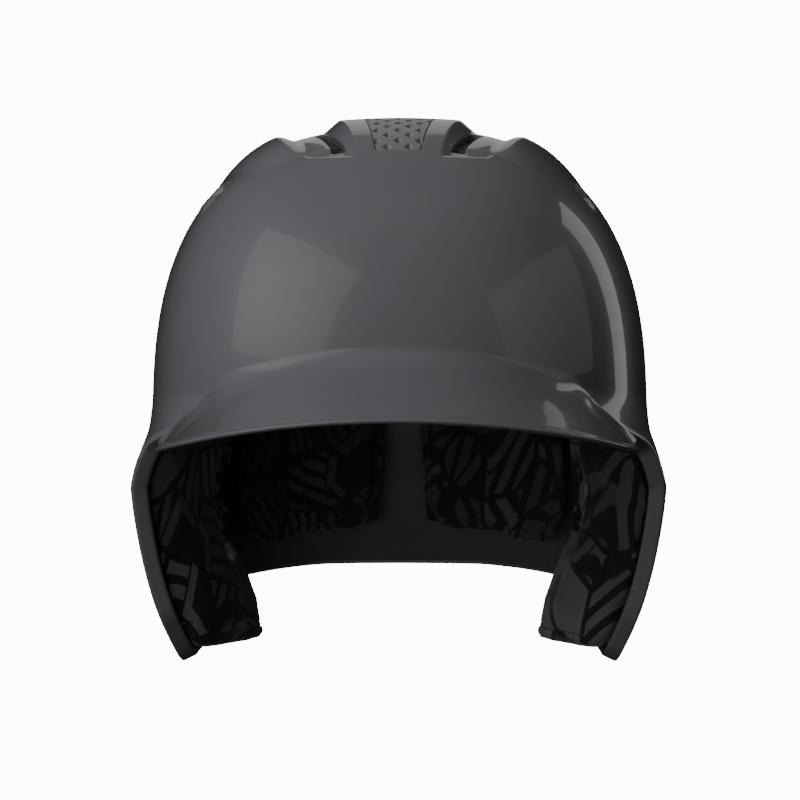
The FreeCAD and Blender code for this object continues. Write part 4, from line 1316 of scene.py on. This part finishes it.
def stitch(place, along, normal, first):
    """Points and faces of one stitch, a short thread that rises out of the seam."""
    side = normalized(np.cross(along, normal))
    sides, last = STITCH_SIDES, STITCH_SIDES * (len(STITCH_RINGS) - 1)
    points = []
    for share, thick, lift in STITCH_RINGS:
        middle = place + along * share * STITCH_LENGTH + normal * lift
        for k in range(sides):
            a = 2 * math.pi * k / sides
            out = side * math.cos(a) + normal * math.sin(a)
            points.append(middle + out * STITCH_RADIUS * thick)
    faces = []
    for ring in range(first, first + last, sides):
        for k in range(sides):
            a, b = ring + k, ring + (k + 1) % sides
            faces.append((a, b, b + sides, a + sides))
    faces.append(tuple(first + k for k in reversed(range(sides))))
    faces.append(tuple(first + last + k for k in range(sides)))
    return points, faces


def stitches(name, obj, outline, plane, inset, ray):
    """Thread stitches lying in the pad's seam channel."""
    polygons = [tuple(p.vertices) for p in obj.data.polygons]
    tree = BVHTree.FromPolygons(world_points(obj).tolist(), polygons)
    points, faces = [], []
    for here, ahead in zip(*seam_places(outline, inset)):
        p, normal = cast(tree, here, plane, ray)
        q = cast(tree, ahead, plane, ray)[0]
        if p is None or q is None:
            continue
        along = normalized(np.array(q) - np.array(p))
        more = stitch(np.array(p), along, np.array(normal), len(points))
        points += more[0]
        faces += more[1]
    return make_object(name, np.array(points), faces)


def pad(name, side, plane, outline, inset, ray, body, material, thread):
    """A fabric-covered pad in its CAD solids' place, with its seam and stitches."""
    label = name + side
    cover, foam = f"{name}_cover{side}", f"{name}_foam{side}"
    obj = foam_copy(label, foam)
    swell(obj)
    subdivide(obj, PAD_LEVELS)
    sew(obj, outline, plane, inset)
    dress(obj, material)
    threads = stitches(label + "_stitches", obj, outline, plane, inset, ray)
    dress(threads, thread)
    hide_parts(cover, foam)
    for piece in (obj, threads):
        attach(piece, body)
        shade_smooth(piece.data)


def pads():
    """Every pad: bright print on the jaw pads, and a dimmer copy of the same fabric on the pads
    inside the dome, which is painted shade for the dome's shade.
    """
    bright = fabric_material("pad_fabric", (0.5, 0.3, 0.4), JAW_BLACK, JAW_SHARD)
    # Dimmer copy of the same fabric for the pads inside the dome: painted shade
    shaded_fabric = fabric_material("pad_fabric_shaded", (0.35, 0.9, 0.2), INSIDE_SHADED_BLACK, INSIDE_SHADED_SHARD)
    thread = thread_material()
    jaw, temple, rear = rounded(JAW_PAD), rounded(TEMPLE_PAD), rounded(REAR_PAD)
    for side, sign in (("_left", 1), ("_right", -1)):
        ray = (sign, SIDE_RAY * sign)
        pad("jaw_pad", side, "yz", jaw, JAW_SEAM, ray, "jaw_pad" + side, bright, thread)
        pad("temple_pad", side, "yz", temple, PLAIN_SEAM, ray, "helmet", shaded_fabric, thread)
        turned = rear * np.array([sign, 1])
        pad("rear_pad", side, "xz", turned, REAR_SEAM, (1, 0), "helmet", shaded_fabric, thread)
    forehead, crown = rounded(FOREHEAD_PAD), rounded(CROWN_PAD)
    pad("forehead_pad", "", "xz", forehead, PLAIN_SEAM, (-1, 0), "helmet", shaded_fabric, thread)
    pad("crown_pad", "", "xy", crown, PLAIN_SEAM, (1, CROWN_RAY), "helmet", shaded_fabric, thread)


def carried_nodes():
    """Materials for the CAD nodes that are shown as they are."""
    foam, board, hooks = foam_material(), satin_material(), hook_material()
    for name, node in frame["nodes"].items():
        if "_liner" in name:
            dress(node, foam)
        elif "_board" in name:
            dress(node, board)
        elif name.startswith("hook_discs"):
            dress(node, hooks)


# Stage --------------------

def camera():
    """A long lens that looks level at the helmet's front."""
    data = bpy.data.cameras.new("camera")
    data.lens = LENS
    data.sensor_width = SENSOR
    lens = link_object("camera", data)
    turn = math.radians(CAMERA_TURN)
    lens.location = CAMERA_AIM + Vector((math.sin(turn), -math.cos(turn), 0)) * CAMERA_DISTANCE
    lens.rotation_euler = (math.pi / 2, 0, turn)
    bpy.context.scene.camera = lens


def floor_material():
    """Pale paper that glows, so that it is the same shade all over."""
    n = Nodes("pale_floor")
    grain = n.noise(n.place(), 4.0, 3.0)
    n.set(Base_Color=n.colours(grain, (0.3, FLOOR_DARK), (0.7, FLOOR_LIGHT)), Roughness=0.9,
          Emission_Color=(*WHITE, 1), Emission_Strength=FLOOR_GLOW)
    return n.material


def backdrop():
    """Pale floor that curves up into a pale wall; reflections and fill light pass it."""
    sides = COVE_SIDES
    points = [(0, 0, -COVE_DROP)]
    for r, z in COVE:
        for k in range(sides):
            a = 2 * math.pi * k / sides
            points.append((r * math.cos(a), r * math.sin(a), z - COVE_DROP))
    faces = [(0, 1 + k, 1 + (k + 1) % sides) for k in range(sides)]
    for ring in range(len(COVE) - 1):
        for k in range(sides):
            a, b = 1 + ring * sides + k, 1 + ring * sides + (k + 1) % sides
            faces.append((a, a + sides, b + sides, b))
    mesh = bpy.data.meshes.new("floor")
    mesh.from_pydata(points, [], faces)
    shade_smooth(mesh)
    mesh.materials.append(floor_material())
    cove = link_object("floor", mesh)
    cove.visible_glossy = False
    cove.visible_diffuse = False
    cove.visible_shadow = False


def world():
    """Dim fill: brighter from the front and above, dark from behind and below."""
    settings = bpy.data.worlds.new("studio")
    settings.use_nodes = True
    tree = settings.node_tree
    place = tree.nodes.new("ShaderNodeTexCoord")
    facing = tree.nodes.new("ShaderNodeVectorMath")
    facing.operation = "DOT_PRODUCT"
    facing.inputs[1].default_value = FILL_FROM
    strength = tree.nodes.new("ShaderNodeMapRange")
    strength.interpolation_type = "SMOOTHSTEP"
    ranges = {"From Min": FILL_SPAN[0], "From Max": FILL_SPAN[1],
              "To Min": FILL_LOW, "To Max": FILL_HIGH}
    for key, number in ranges.items():
        strength.inputs[key].default_value = number
    back = tree.nodes["Background"]
    back.inputs["Color"].default_value = FILL_COLOUR
    tree.links.new(place.outputs["Generated"], facing.inputs[0])
    tree.links.new(facing.outputs["Value"], strength.inputs["Value"])
    tree.links.new(strength.outputs[0], back.inputs["Strength"])
    bpy.context.scene.world = settings


def light(name, azimuth, elevation, distance, size, power, reflected):
    """A soft light aimed at the helmet, which either lights it or shows as a reflection."""
    a, e = math.radians(azimuth), math.radians(elevation)
    way = Vector((math.sin(a) * math.cos(e), -math.cos(a) * math.cos(e), math.sin(e)))
    data = bpy.data.lights.new(name, "AREA")
    data.shape = "RECTANGLE"
    data.size, data.size_y = size
    data.energy = power
    lamp = link_object(name, data)
    lamp.location = AIM + distance * way
    lamp.rotation_euler = (-way).to_track_quat("-Z", "Y").to_euler()
    lamp.visible_glossy = reflected
    lamp.visible_diffuse = not reflected
    lamp.visible_camera = False


# Scene --------------------

gloss = shell_material()
for piece in shell():
    dress(piece, gloss)
dress(vent_insert(), satin_material())
pads()
carried_nodes()
camera()
backdrop()
world()
for row in LIGHTS:
    light(*row)
